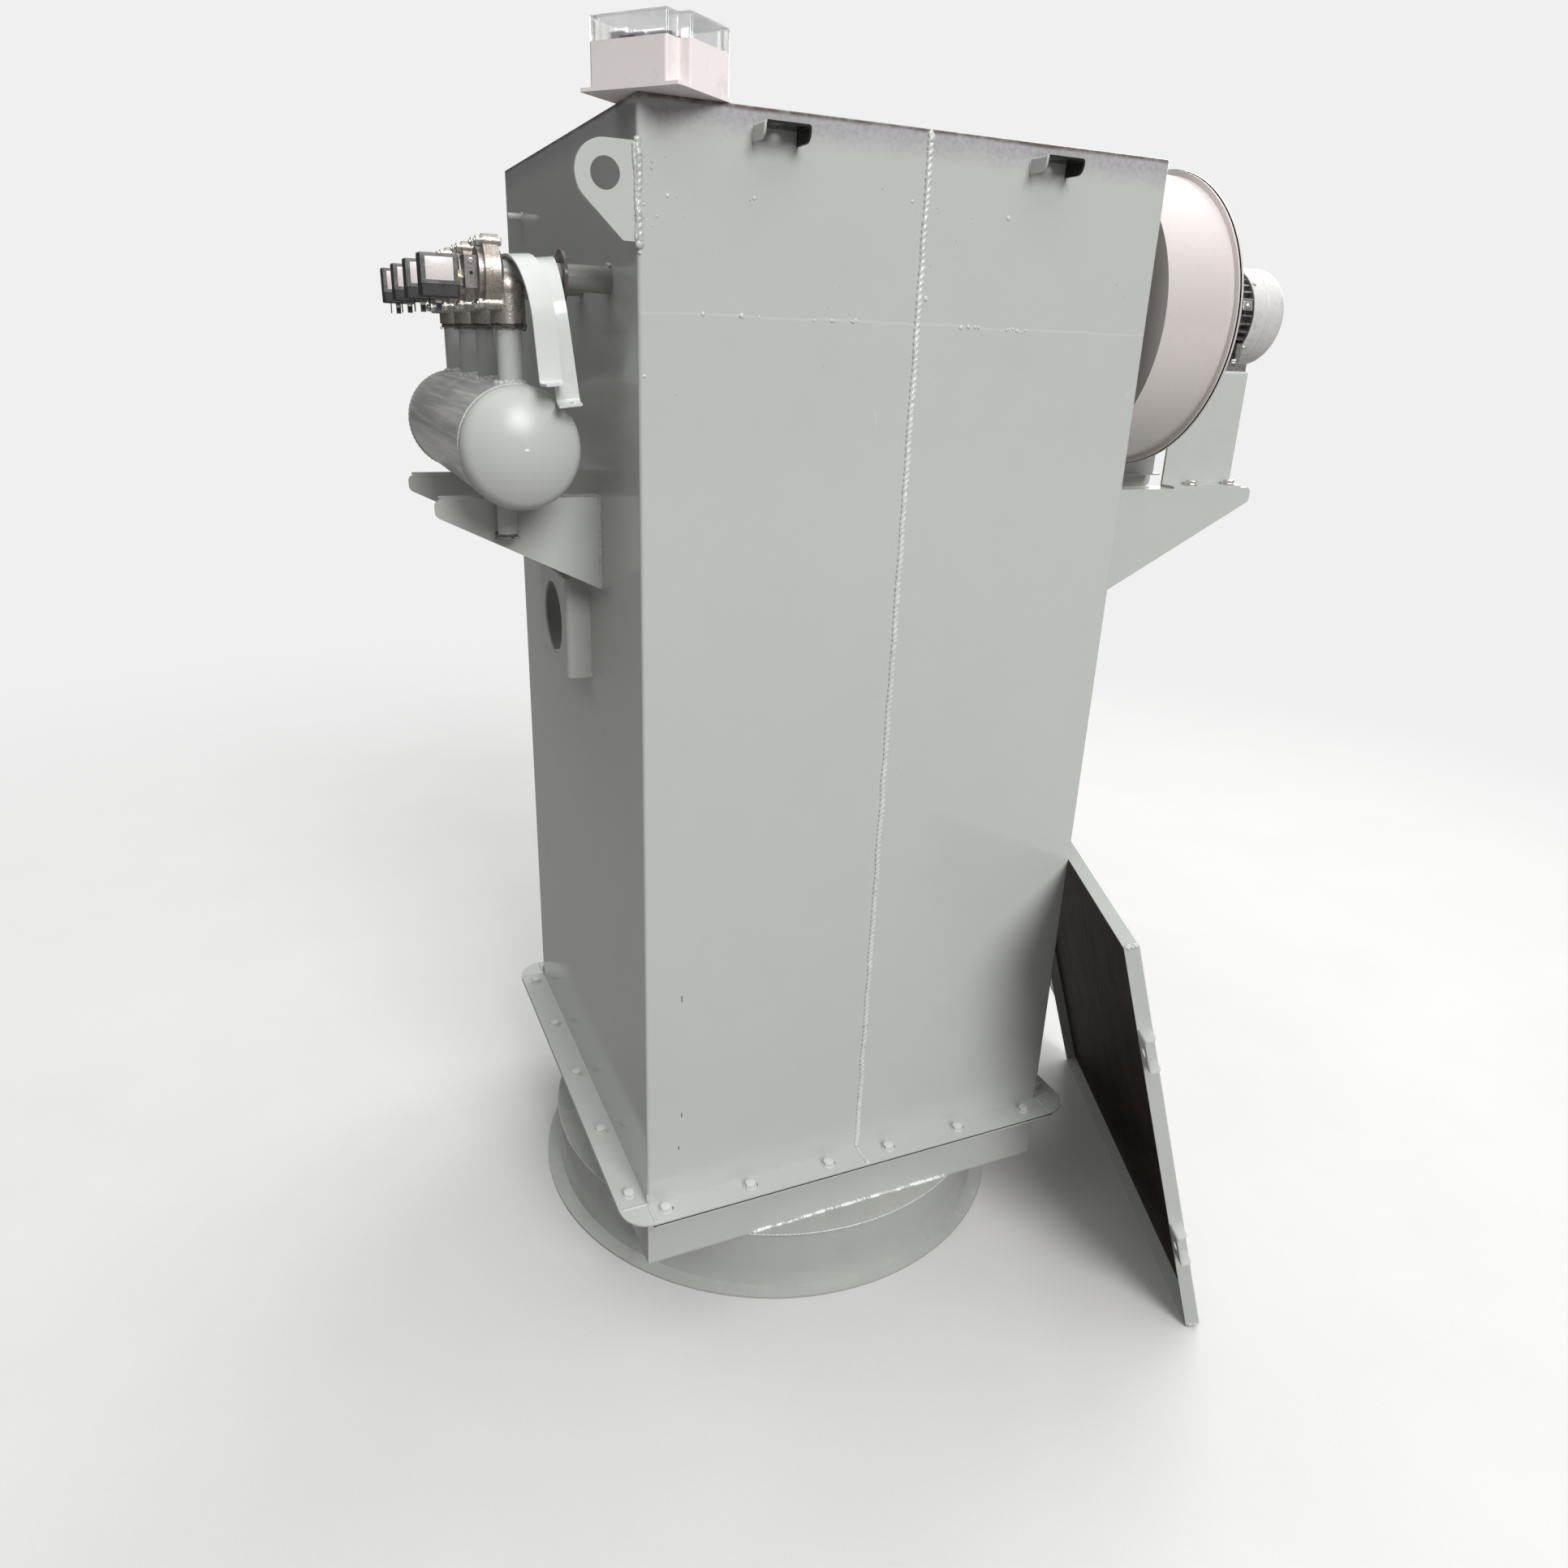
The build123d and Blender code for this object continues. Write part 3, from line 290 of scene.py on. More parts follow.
def placeGroup(name, place, **inputs):
    # one of the shared groups, in the material's own tree
    return addNode(place.id_data, "Group", {"node_tree": groups[name]}, Place=place, **inputs).outputs


def startMaterial(name, **fixed):
    # values that are the same all over go straight onto the shader's own sockets
    material = bpy.data.materials.new(name)
    material.use_nodes = True
    shader = material.node_tree.nodes["Principled BSDF"].inputs
    for key, value in fixed.items():
        shader[key.replace("_", " ")].default_value = value
    return material, shader, addNode(material.node_tree, "TexCoord").outputs["Object"]


def finishShader(shader, colour, rough, height, depth):
    # what changes over the surface: colour, roughness, and height times depth as bump
    bump = addNode(colour.id_data, "Bump", None, Height=height, Distance=depth)
    for name, value in (("Base Color", colour), ("Roughness", rough), ("Normal", bump.outputs[0])):
        feed(shader[name], value)


# paints: the last three values are the colour, the level of a hot edge and how strongly pale streaks are
# painted along the shell as reflections
greyGreen = (0.490, 0.500, 0.474)
glossSpray = (0.13, 0.025, 0.08, 0.06, 0.02, 0.00016)
frameSpray = (0.20, 0.05, 0.15, 0.15, 0.05, 0.0002)
hoopSpray = (0.16, 0.05, 0.05, 0.25, 0.05, 0.0002)
paintLook = lookTable(
    "rough mottle dust scuffs grime peel colour hotEdge streaks",
    housing=(*glossSpray, greyGreen, 1.898),
    cover=(*glossSpray, greyGreen),
    frame=(*frameSpray, greyGreen),
    clip=(*frameSpray, greyGreen),
    pipe=(*frameSpray, (0.30, 0.30, 0.28)),
    disc=(*frameSpray, (0.12, 0.10, 0.09)),
    inner=(*frameSpray, (0.30, 0.31, 0.29)),
    # painted shade: the ring's paint is a darker copy of the grey-green, for the shade under the flange
    ring=(0.20, 0.07, 0.18, 0.35, 0.10, 0.0002, (0.42, 0.428, 0.402)),
    tank=(0.30, 0.04, 0.05, 0.1, 0.03, 0.00016, greyGreen),
    tankShell=(0.19, 0.04, 0.05, 0.1, 0.03, 0.00016, greyGreen, None, 0.75),
    # painted highlight: the hoops' paint is a lighter copy of the grey-green, for the sheen on their upward
    # faces
    hoop=(*hoopSpray, (0.65, 0.66, 0.635)),
    # painted highlight: the bolts' paint is a lighter copy of the flange's, for the light on their heads
    bolt=(*hoopSpray, (0.60, 0.605, 0.58)))
# painted highlight: a faint wandering lighter line where the bar inside draws the front in
barCreaseHighlight = {"level": 1.6615, "wander": 0.014, "width": (0.0004, 0.0022), "share": 0.22,
           "colour": (0.70, 0.71, 0.69)}


def barHighlightColour(place, look, paint):
    # the painted highlight lies where |z - level - wobble| is small, on faces that look along y
    wobble = times(minus(noise(scaled(place, (9.0, 9.0, 0.0)), 1.0, 3.0), 0.5), look["wander"])
    gap = calc("ABSOLUTE", minus(minus(partOf(place, 2), look["level"]), wobble))
    front = calc("GREATER_THAN", calc("ABSOLUTE", dotWith(facing(place.id_data), (0, 1, 0))), 0.9)
    line = times(minus(1.0, stretch(gap, *look["width"])), front)
    return blend(times(line, look["share"]), paint, look["colour"])


def paintMaterial(name, look):
    material, shader, place = startMaterial(name, Specular_IOR_Level=0.42)
    spray = placeGroup("spray", place, Paint=look["colour"], Mottle=look["mottle"], Dust=look["dust"],
                       Scuffs=look["scuffs"], Roughness=look["rough"])
    last = spray["Colour"]
    if look.get("hotEdge"):
        last = placeGroup("heat", place, Base=last, Edge_Level=look["hotEdge"])["Colour"]
        last = barHighlightColour(place, barCreaseHighlight, last)
    if "streaks" in look:
        # painted reflection: pale streaks along the shell's length stand in for the reflections on the
        # cylinder
        reflectionStreak = stretch(noise(scaled(place, (110.0, 3.0, 110.0)), 1.0, 3.0), 0.42, 0.66)
        last = blend(times(reflectionStreak, look["streaks"]), last, (0.80, 0.765, 0.73))
    dirty = placeGroup("grime", place, Base=last, Grime=(0.16, 0.15, 0.13), Amount=look["grime"], Size=11.0)
    finishShader(shader, dirty["Colour"], spray["Roughness"], spray["Height"], look["peel"])
    return material


# metals: base colour with stains, pits as bump, rougher where stained
metalLook = lookTable(
    "metal stain amount size rough pit metallic grime",
    castAlloy=((0.50, 0.46, 0.43), (0.22, 0.17, 0.14), 0.55, 420, 0.34, 0.0004, 0.85, 0.3),
    pilotBlock=((0.25, 0.24, 0.235), (0.10, 0.09, 0.08), 0.5, 500, 0.38, 0.0002, 0.85, 0.3),
    brightNut=((0.72, 0.70, 0.67), (0.34, 0.30, 0.26), 0.3, 700, 0.24, 0.0001, 0.85, 0.3),
    brassRing=((0.62, 0.44, 0.22), (0.30, 0.20, 0.10), 0.3, 600, 0.28, 0.0001, 0.85, 0.3),
    motorSilver=((0.72, 0.71, 0.70), (0.58, 0.565, 0.55), 0.4, 520, 0.40, 0.0002, 0.3, 0.3),
    motorIron=((0.40, 0.39, 0.38), (0.09, 0.085, 0.08), 0.75, 180, 0.42, 0.0003, 0.85, 0.3),
    fanPaint=((0.73, 0.675, 0.65), (0.69, 0.64, 0.615), 0.10, 60, 0.30, 0.00015, 0.25, 0.05),
    pinTin=((0.74, 0.72, 0.68), (0.45, 0.42, 0.36), 0.2, 800, 0.22, 0.0001, 0.85, 0.3))


def metalMaterial(name, look):
    # roughness is rough + 0.22 speckle + 0.3 grime
    material, shader, place = startMaterial(name, Metallic=look["metallic"])
    speckle = placeGroup("speckle", place, Metal=look["metal"], Stain=look["stain"], Amount=look["amount"],
                         Size=look["size"])
    dirty = placeGroup("grime", place, Base=speckle["Colour"], Grime=(0.12, 0.10, 0.08), Amount=look["grime"],
                       Size=70.0)
    rough = timesPlus(dirty["Mask"], 0.3, timesPlus(speckle["Mask"], 0.22, look["rough"]))
    finishShader(shader, dirty["Colour"], rough, speckle["Height"], look["pit"])
    return material


# mouldings and soft strips: a colour with a fine grain and a slight change of tone
mouldingLook = lookTable(
    "colour other grain rough bump",
    blackMoulding=((0.016, 0.016, 0.017), (0.05, 0.05, 0.05), 900, 0.42, 0.0003),
    yokeCoat=((0.055, 0.055, 0.058), (0.36, 0.35, 0.34), 1100, 0.34, 0.0004),
    palePlate=((0.76, 0.70, 0.69), (0.60, 0.55, 0.54), 260, 0.30, 0.0001),
    whiteMoulding=((0.87, 0.805, 0.79), (0.75, 0.69, 0.675), 30, 0.30, 0.0001),
    # sealStrip is the seal's own dark rubber, and also the painted shade in the gap between the flanges
    sealStrip=((0.008, 0.008, 0.008), (0.022, 0.020, 0.018), 400, 0.62, 0.0005),
    threadTape=((0.10, 0.085, 0.075), (0.30, 0.27, 0.25), 330, 0.30, 0.0009),
    # darkHole is near black; in holes, slots and vents it is painted shade
    darkHole=((0.004, 0.004, 0.004), (0.012, 0.010, 0.008), 300, 0.7, 0.0001),
    boardDark=((0.012, 0.035, 0.022), (0.02, 0.06, 0.04), 240, 0.40, 0.0002),
    partRed=((0.42, 0.03, 0.025), (0.30, 0.02, 0.02), 200, 0.35, 0.0001),
    partDark=((0.03, 0.03, 0.032), (0.10, 0.10, 0.10), 260, 0.38, 0.0002))


def mouldingMaterial(name, look):
    # share is the larger of fine specks and a broad change of tone; roughness is rough + 0.12 share
    material, shader, place = startMaterial(name)
    grain = noise(place, look["grain"], 3.0, 0.6)
    broad = stretch(noise(place, look["grain"] * 0.12, 2.0, 0.5), 0.3, 0.7, 0.0, 0.35)
    share = calc("MAXIMUM", stretch(grain, 0.52, 0.72), broad)
    rough = timesPlus(share, 0.12, look["rough"])
    finishShader(shader, blend(share, look["colour"], look["other"]), rough, grain, look["bump"])
    return material


def clearMaterial(name):
    # a little haze where hands and dust have been
    material, shader, place = startMaterial(name, Transmission_Weight=1.0, IOR=1.42, Alpha=0.6)
    haze = stretch(noise(place, 35.0, 4.0, 0.6), 0.4, 0.75)
    colour = blend(haze, (0.97, 0.975, 0.98), (0.90, 0.90, 0.90))
    finishShader(shader, colour, timesPlus(haze, 0.07, 0.035), noise(place, 22.0, 1.0), 0.0002)
    return material


# the cover's own directions: along its foot, up its slope and out of its outer face
coverLook = {"yaw": 67.8, "lean": 16.55, "width": 0.814, "rim": 0.025, "sheet": 0.003, "contact": 0.3215,
             "corner": (0.395, -0.395, 0.0), "cornerGap": 0.0053}


def coverAxes(look):
    # the cover touches the corner at contact along its foot, and its foot stands off
    # by width sin lean + rim cos lean
    yaw, lean = math.radians(look["yaw"]), math.radians(look["lean"])
    along = np.array((math.cos(yaw), math.sin(yaw), 0))
    inward = np.array((-math.sin(yaw), math.cos(yaw), 0))
    outward = -inward * math.cos(lean) + np.array((0, 0, math.sin(lean)))
    depth = look["width"] * math.sin(lean) + look["rim"] * math.cos(lean)
    origin = np.array(look["corner"]) - inward * look["cornerGap"] - along * look["contact"] - inward * depth
    origin = origin + np.array((0, 0, look["rim"] * math.sin(lean)))
    return origin, along, np.cross(outward, along), outward


coverOrigin, coverAlong, coverUp, coverOut = coverAxes(coverLook)


def coverInsideMaterial(name):
    # dark brown primer, brushed up the slope, drawn near black so that it also paints the shade inside the
    # pan; the faint slanting creases are drawn lighter, a painted sheen
    material, shader, place = startMaterial(name, Specular_IOR_Level=0.06)
    across, upward = dotWith(place, coverAlong), dotWith(place, coverUp)

    def pattern(x, y):
        return addNode(place.id_data, "CombineXYZ", None, X=x, Y=y).outputs[0]

    brushed = pattern(times(across, 120.0), times(upward, 6.0))
    slanted = pattern(timesPlus(across, 5.0, times(upward, 7.0)), times(upward, 1.2))
    streak = stretch(noise(brushed, 1.0, 4.0, 0.6), 0.3, 0.7)
    slantSheen = stretch(noise(slanted, 1.3, 2.0, 0.5), 0.5, 0.56)
    brown = blend(streak, (0.012, 0.0068, 0.0045), (0.019, 0.011, 0.0075))
    brown = blend(times(slantSheen, 0.35), brown, (0.036, 0.023, 0.017))
    dirty = placeGroup("grime", place, Base=brown, Grime=(0.07, 0.055, 0.045), Amount=0.35, Size=16.0)
    finishShader(shader, dirty["Colour"], timesPlus(streak, 0.08, 0.42), streak, 0.0002)
    return material


def beadMaterial(name, colour, brushed=None):
    # paint runs over the ripples of the weld: shinier than the sheet, a few burnt specks between
    material, shader, place = startMaterial(name, Coat_Roughness=0.14, Coat_Weight=0.3)
    spray = placeGroup("spray", place, Paint=colour, Mottle=0.25, Dust=0.1, Scuffs=0.1, Roughness=0.2)
    specks = placeGroup("grime", place, Base=spray["Colour"], Grime=(0.17, 0.13, 0.10), Amount=0.45,
                        Size=95.0)
    last = specks["Colour"]
    if brushed:
        # painted glints: the bead is drawn near white in broken patches
        last = blend(stretch(noise(place, 55.0, 4.0, 0.7), 0.46, 0.56), last, brushed)
    rough = timesPlus(specks["Mask"], 0.25, spray["Roughness"])
    finishShader(shader, last, rough, noise(place, 420.0, 2.0), 0.0005)
    return material


# places across the machine where the colour changes: painted shade on the clips and in the casing's groove
edgeLook = {"clipLegs": (-0.2527, 0.1588), "clipReach": 0.0035, "clipDark": (0.022, 0.021, 0.019),
            "groove": (0.5561, 0.5583), "grooveDark": (0.012, 0.011, 0.010)}


def clipShadeColour(x, paint, look):
    # painted shade: the clips keep the paint colour only near the outer face of each left leg and are drawn
    # near black elsewhere, for the shade under and inside them
    left, right = (calc("ABSOLUTE", minus(x, leg)) for leg in look["clipLegs"])
    litSide = calc("LESS_THAN", calc("MINIMUM", left, right), look["clipReach"])
    return blend(litSide, look["clipDark"], paint)


def grooveShadeColour(x, paint, look):
    # painted shade: the narrow groove behind the casing's rim is drawn near black
    groove = times(calc("GREATER_THAN", x, look["groove"][0]), calc("LESS_THAN", x, look["groove"][1]))
    return blend(groove, paint, look["grooveDark"])


def recolour(material, change):
    # a change of colour along x goes between the paint and the shader
    tree = material.node_tree
    base = tree.nodes["Principled BSDF"].inputs["Base Color"]
    x = partOf(addNode(tree, "TexCoord").outputs["Object"], 0)
    feed(base, change(x, base.links[0].from_socket, edgeLook))


finishes = {name: paintMaterial(name + "Paint", look) for name, look in paintLook.items()}
finishes.update({name: metalMaterial(name, look) for name, look in metalLook.items()})
finishes.update({name: mouldingMaterial(name, look) for name, look in mouldingLook.items()})
finishes.update({
    "bead": beadMaterial("weldPaint", (0.50, 0.51, 0.485)),
    # painted glints on the skirt-foot beads: near white patches over the weld paint
    "paintedGlintBead": beadMaterial("brightWeldPaint", (0.50, 0.51, 0.485), (0.88, 0.88, 0.87)),
    # painted highlight: paler paint on the seam beads, tack spots and drips; on the pale scratches it is
    # rubbed paint
    "spot": beadMaterial("spotPaint", (0.62, 0.63, 0.605)),
    "coverInside": coverInsideMaterial("coverInside"),
    "clear": clearMaterial("clearMoulding"),
})
recolour(finishes["clip"], clipShadeColour)
recolour(finishes["fanPaint"], grooveShadeColour)

# which nodes have which finish; the others have the frame's paint
nodeFinish = {
    "housing": "housing_left_half housing_right_half",
    "ring": "base_ring closing_plate",
    "tank": "tank_end_front tank_end_back",
    "tankShell": "tank_shell",
    "pipe": "blow_pipes",
    "disc": "pipe_discs",
    "clip": "housing_clips",
    "hoop": "tank_hoop_outer tank_hoop_inner",
    "inner": "tube_sheet wall_stiffeners pipe_rest_bar",
    "cover": "top_cover",
    "castAlloy": "valve_bodies valve_covers",
    "pilotBlock": "valve_pilots",
    "blackMoulding": "valve_coils",
    "fanPaint": "fan_casing fan_back_plate",
    "motorSilver": "motor_cowl",
    "motorIron": "motor_body motor_foot fan_impeller",
    "whiteMoulding": "controller_base controller_box",
    "clear": "controller_lid",
    "sealStrip": "flange_seal",
}
chosen = {node: finish for finish, members in nodeFinish.items() for node in members.split()}
for name, obj in nodes.items():
    obj.data.materials.clear()
    obj.data.materials.append(finishes[chosen.get(name, "frame")])
print("finishes are on", len(nodes), "nodes")


# shapes: a patch is (points, faces); rings are stations x points round x 3,
# turned counter-clockwise about the way along
def anglesOf(count):
    return np.arange(count) * 2 * math.pi / count


def unit(vectors):
    # v / |v| for each row
    return vectors / np.linalg.norm(vectors, axis=-1, keepdims=True)


def wheel(angle, first=(1, 0, 0), second=(0, 1, 0)):
    # first cos a + second sin a, a row for each angle
    return np.cos(angle)[:, None] * np.array(first, float) + np.sin(angle)[:, None] * np.array(second, float)


def copyFaces(faces, pointCount, copies):
    # the faces once for each copy, with pointCount more on every index each time
    return [[index + step * pointCount for index in face] for step in range(copies) for face in faces]


def tubePatch(rings, looped=False):
    # neighbouring rings and neighbouring points make the quads; each end is closed by one polygon
    stations, around = rings.shape[:2]
    grid = np.arange(stations * around).reshape(stations, around)
    here = grid if looped else grid[:-1]
    there = np.roll(grid, -1, axis=0) if looped else grid[1:]
    quads = np.stack([here, np.roll(here, -1, 1), np.roll(there, -1, 1), there], -1).reshape(-1, 4)
    ends = [] if looped else [grid[0][::-1].tolist(), grid[-1].tolist()]
    return rings.reshape(-1, 3), quads.tolist() + ends


def tubeAlong(line, across, rise, width, height, angle, looped=False):
    # rings about the line, each of across w cos a + rise h sin a
    reach = across[:, None] * (width * np.cos(angle))[..., None]
    return tubePatch(line[:, None] + reach + rise[:, None] * (height * np.sin(angle))[..., None], looped)


def repeatPatch(patch, places):
    # the same patch moved to each place
    points, faces = patch
    places = np.array(places, float).reshape(-1, 3)
    return (points[None] + places[:, None]).reshape(-1, 3), copyFaces(faces, len(points), len(places))


def turnPatch(patch, matrix, shift=(0, 0, 0)):
    # matrix times each point, plus shift
    return patch[0] @ np.array(matrix, float).T + np.array(shift, float), patch[1]


def sideways(axis):
    # two directions square to the axis, so that first x second = axis
    axis = unit(np.array(axis, float))
    first = unit(np.cross((0, 0, 1.0) if abs(axis[2]) < 0.9 else (1.0, 0, 0), axis))
    return first, np.cross(axis, first), axis


def turned(places, axis, profile, around=24):
    # one turned shape at each place; profile rows are (radius, height, hexagon share):
    # the radius at angle a is r (1 - h + h cos 30 / cos(a mod 60 - 30))
    first, second, along = sideways(axis)
    profile = np.array([(*row, 0.0)[:3] for row in profile], float)
    angle = anglesOf(around)
    hexagon = math.cos(math.pi / 6) / np.cos(np.mod(angle, math.pi / 3) - math.pi / 6)
    radius = profile[:, 0, None] * (1 - profile[:, 2, None] + profile[:, 2, None] * hexagon)
    rings = radius[..., None] * wheel(angle, first, second)[None] + profile[:, 1, None, None] * along
    return repeatPatch(tubePatch(rings), places)


def roundedOutline(width, depth, radius):
    # a rectangle whose corners are quarter circles of four points, as x and y counter-clockwise
    angle = np.linspace(0, math.pi / 2, 4)[None] + np.arange(4)[:, None] * math.pi / 2
    corners = np.array(((1, 1), (-1, 1), (-1, -1), (1, -1)), float) * (width / 2 - radius, depth / 2 - radius)
    return (corners[:, None] + radius * np.stack([np.cos(angle), np.sin(angle)], -1)).reshape(-1, 2)


def softBlock(low, high, edge=0.0004, corner=None):
    # rounded outlines stacked from low to high; near each end they are drawn in by e (1 - sin b)
    # where the level is e (1 - cos b)
    low, high = np.array(low, float), np.array(high, float)
    size, middle = high - low, (low + high) / 2
    bow = np.linspace(0, math.pi / 2, 3)
    inset = np.concatenate([edge * (1 - np.sin(bow)), edge * (1 - np.sin(bow[::-1]))])
    level = np.concatenate([low[2] + edge * (1 - np.cos(bow)), high[2] - edge * (1 - np.cos(bow[::-1]))])
    outline = roundedOutline(size[0], size[1], corner or edge)
    flat = outline[None] * (1 - 2 * inset[:, None] / size[:2])[:, None] + middle[:2]
    return tubePatch(np.concatenate([flat, np.broadcast_to(level[:, None, None], (*flat.shape[:2], 1))], -1))


def putPiece(name, patches, finish, sharpAngle=180.0):
    # the patches become one mesh, smooth except at edges sharper than the angle
    starts = np.cumsum([0] + [len(points) for points, _ in patches])
    faces = [[index + start for index in face]
             for start, (_, some) in zip(starts.tolist(), patches) for face in some]
    mesh = bpy.data.meshes.new(name)
    mesh.from_pydata(np.concatenate([points for points, _ in patches]).tolist(), [], faces)
    mesh.validate()
    mesh.polygons.foreach_set("use_smooth", np.ones(len(mesh.polygons), bool))
    mesh.set_sharp_from_angle(angle=math.radians(sharpAngle))
    mesh.materials.append(finishes[finish])
    piece = bpy.data.objects.new(name, mesh)
    scene.collection.objects.link(piece)
    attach(piece, "root")


# places of the body, as the CAD has them
bodyPlaces = {"half": 0.4, "flangeTop": 0.258, "flangeUnder": 0.249, "rows": (-0.270, -0.118, 0.034, 0.186),
              "pipeLevel": 1.700, "tankX": -0.536, "tankZ": 1.489, "tankRadius": 0.0795}
half, flangeTop, flangeUnder, rows, pipeLevel, tankX, tankZ, tankRadius = bodyPlaces.values()


def atValves(x, z, shift=0.0):
    # (x, y + shift, z) at the y of each valve
    return [(x, y + shift, z) for y in rows]


# weld beads, by kind
beadLook = lookTable(
    "width height pitch ripple uneven wander skew",
    seam=(0.0045, 0.0024, 0.0088, 0.55, 0.16, 0.0009, 1.5),
    lug=(0.0046, 0.0034, 0.0080, 0.30, 0.34, 0.0014, 1.3),
    lugBack=(0.0026, 0.0028, 0.0080, 0.30, 0.34, 0.0014, 1.3),
    thin=(0.0030, 0.0016, 0.0060, 0.20, 0.30, 0.0005, 1.3),
    foot=(0.0042, 0.0030, 0.0070, 0.26, 0.34, 0.0006, 1.3),
    ring=(0.0028, 0.0022, 0.0080, 0.22, 0.30, 0.0005, 1.3),
    riser=(0.0058, 0.0042, 0.0085, 0.34, 0.34, 0.0008, 1.0),
    tank=(0.0040, 0.0015, 0.0072, 0.24, 0.30, 0.0006, 1.2),
    pipeTack=(0.0034, 0.0030, 0.0070, 0.26, 0.34, 0.0006, 1.3),
    coverCorner=(0.0042, 0.0018, 0.0070, 0.26, 0.34, 0.0006, 1.3),
    scratch=(0.0008, 0.0002, 0.0040, 0.2, 0.3, 0.0002, 0.5))


def slowWave(s, chance, count, longest):
    # a sum of sines with random lengths and starts, from -1 to 1 or so
    lengths = longest * chance.uniform(0.15, 1.0, count)
    starts = chance.uniform(0, 2 * math.pi, count)
    return np.sin(2 * math.pi * s[:, None] / lengths + starts).sum(1) / math.sqrt(count * 2)


def beadPatch(path, up, kind, seed, looped=False):
    # a flattened tube; at length s and angle a: path + across w (1 + (f - 1) / 3) cos a + up h f sin a,
    # where f = 1 + ripple sin(2 pi s / pitch + 2 skew cos a) + slow waves, and the ends fade out
    look, chance = beadLook[kind], np.random.default_rng(seed)
    end = slice(0, 1) if looped else slice(-1, None)
    path = np.array(path, float)
    up = np.broadcast_to(np.array(up, float), path.shape)
    gaps = np.linalg.norm(np.diff(path, axis=0, append=path[end]), axis=1)
    marks = np.concatenate([[0], np.cumsum(gaps)])
    keep = np.concatenate([[True], np.diff(marks) > 1e-9])
    total = gaps.sum()
    count = max(8, int(total / look["pitch"] * 5))
    s = np.arange(count) * total / count if looped else np.linspace(0, total, count)
    line, rise = (
        np.stack([np.interp(s, marks[keep], column[keep]) for column in np.concatenate([v, v[end]]).T], 1)
        for v in (path, up))
    tangent = unit(np.roll(line, -1, 0) - np.roll(line, 1, 0) if looped else np.gradient(line, axis=0))
    across = unit(np.cross(rise, tangent))
    rise = np.cross(tangent, across)
    # a loop's waves are nothing where it meets itself, and an open bead is thin at its ends
    hold = np.sin(math.pi * s / total) if looped else np.ones(count)
    fade = np.ones(count) if looped else np.clip(np.minimum(s, total - s) / look["width"], 0.12, 1) ** 0.5
    slow = (slowWave(s, chance, 6, 0.12) * hold)[:, None]
    angle = anglesOf(9)
    phase = 2 * math.pi * s[:, None] / look["pitch"] + look["skew"] * np.cos(angle)[None] * 2 + slow
    swell = 1 + look["ripple"] * np.sin(phase) + look["uneven"] * slow
    spread = (1 + (swell - 1) / 3) * fade[:, None]
    line = line + across * (look["wander"] * slowWave(s, chance, 5, 0.25) * hold)[:, None]
    width, height = look["width"] * spread, look["height"] * swell * fade[:, None]
    return tubeAlong(line, across, rise, width, height, angle, looped)


def lineBeads(table, later=0):
    # one bead for each row of a table; later is added to the rows' seeds
    return [beadPatch(np.linspace(start, end, 2), up, kind, seed + later)
            for kind, seed, start, end, up in table]


def circle(centre, axis, radius, count, spans=(0, 360)):
    # centre + radius (first cos a + second sin a), and the same directions as the way out
    first, second, _ = sideways(axis)
    angle = np.radians(np.linspace(*spans, count, endpoint=spans != (0, 360)))
    out = wheel(angle, first, second)
    return np.array(centre, float) + radius * out, out


def ringBead(centre, axis, radius, count, kind, seed, outShare=1.0, lean=(0, 0, 0)):
    # a bead right round a circle, whose way up is a share of the way out and a lean
    path, out = circle(centre, axis, radius, count)
    return beadPatch(path, out * outShare + lean, kind, seed, looped=True)


def saddleBead(x, y, radius, side, kind, seed):
    # a small pipe's ring on the tank: z = tank level +- sqrt(R^2 - dx^2), and the way up leans out of both
    out = wheel(anglesOf(48))
    path = (x, y, tankZ) + radius * out
    aside = path[:, 0] - tankX
    rise = side * np.sqrt(tankRadius ** 2 - aside ** 2)
    path[:, 2] += rise
    skin = np.stack([aside, 0 * aside, rise], 1) / tankRadius
    return beadPatch(path, unit(out + skin), kind, seed, looped=True)


# straight beads are rows of kind, seed, start, end and way up
bodyWelds = {
    "seams": (
        ("seam", 1, (0, -0.4, 0.258), (0, -0.4, 1.897), (0, -1, 0)),
        ("thin", 6, (0, -0.4, 0.258), (0, -0.449, 0.258), (0, 0, 1)),
        ("seam", 2, (0, 0.4, 0.258), (0, 0.4, 1.897), (0, 1, 0)),
        ("thin", 7, (0, 0.4, 0.258), (0, 0.449, 0.258), (0, 0, 1))),
    "lugs": (
        ("lug", 11, (-0.3978, -0.4, 1.737), (-0.3994, -0.4, 1.849), (0, -1, 0)),
        ("lugBack", 18, (-0.4030, -0.4, 1.740), (-0.4026, -0.4, 1.846), (0, -1, 0)),
        ("foot", 14, (-0.4, -0.391, 1.740), (-0.4, -0.391, 1.847), (-1, 1, 0)),
        ("lug", 12, (0.4022, 0.4, 1.737), (0.4006, 0.4, 1.849), (0, 1, 0)),
        ("lugBack", 19, (0.3970, 0.4, 1.740), (0.3974, 0.4, 1.846), (0, 1, 0)),
        ("foot", 15, (0.4, 0.391, 1.740), (0.4, 0.391, 1.847), (1, -1, 0))),
    "corner": (
        ("thin", 20, (-0.4, -0.4, 0.258), (-0.446, -0.4, 0.258), (0, 0, 1)),
        ("thin", 30, (-0.4, -0.4, 0.258), (-0.4, -0.446, 0.258), (0, 0, 1)),
        ("thin", 40, (-0.4, -0.4, 0.258), (-0.4, -0.4, 0.278), (-1, -1, 0))),
    "foot": ((-0.204, -0.4005, 0.1285), (0.204, -0.4005, 0.1285), 40),
    "ringLevel": 0.1245, "ringRadius": 0.4508,
}


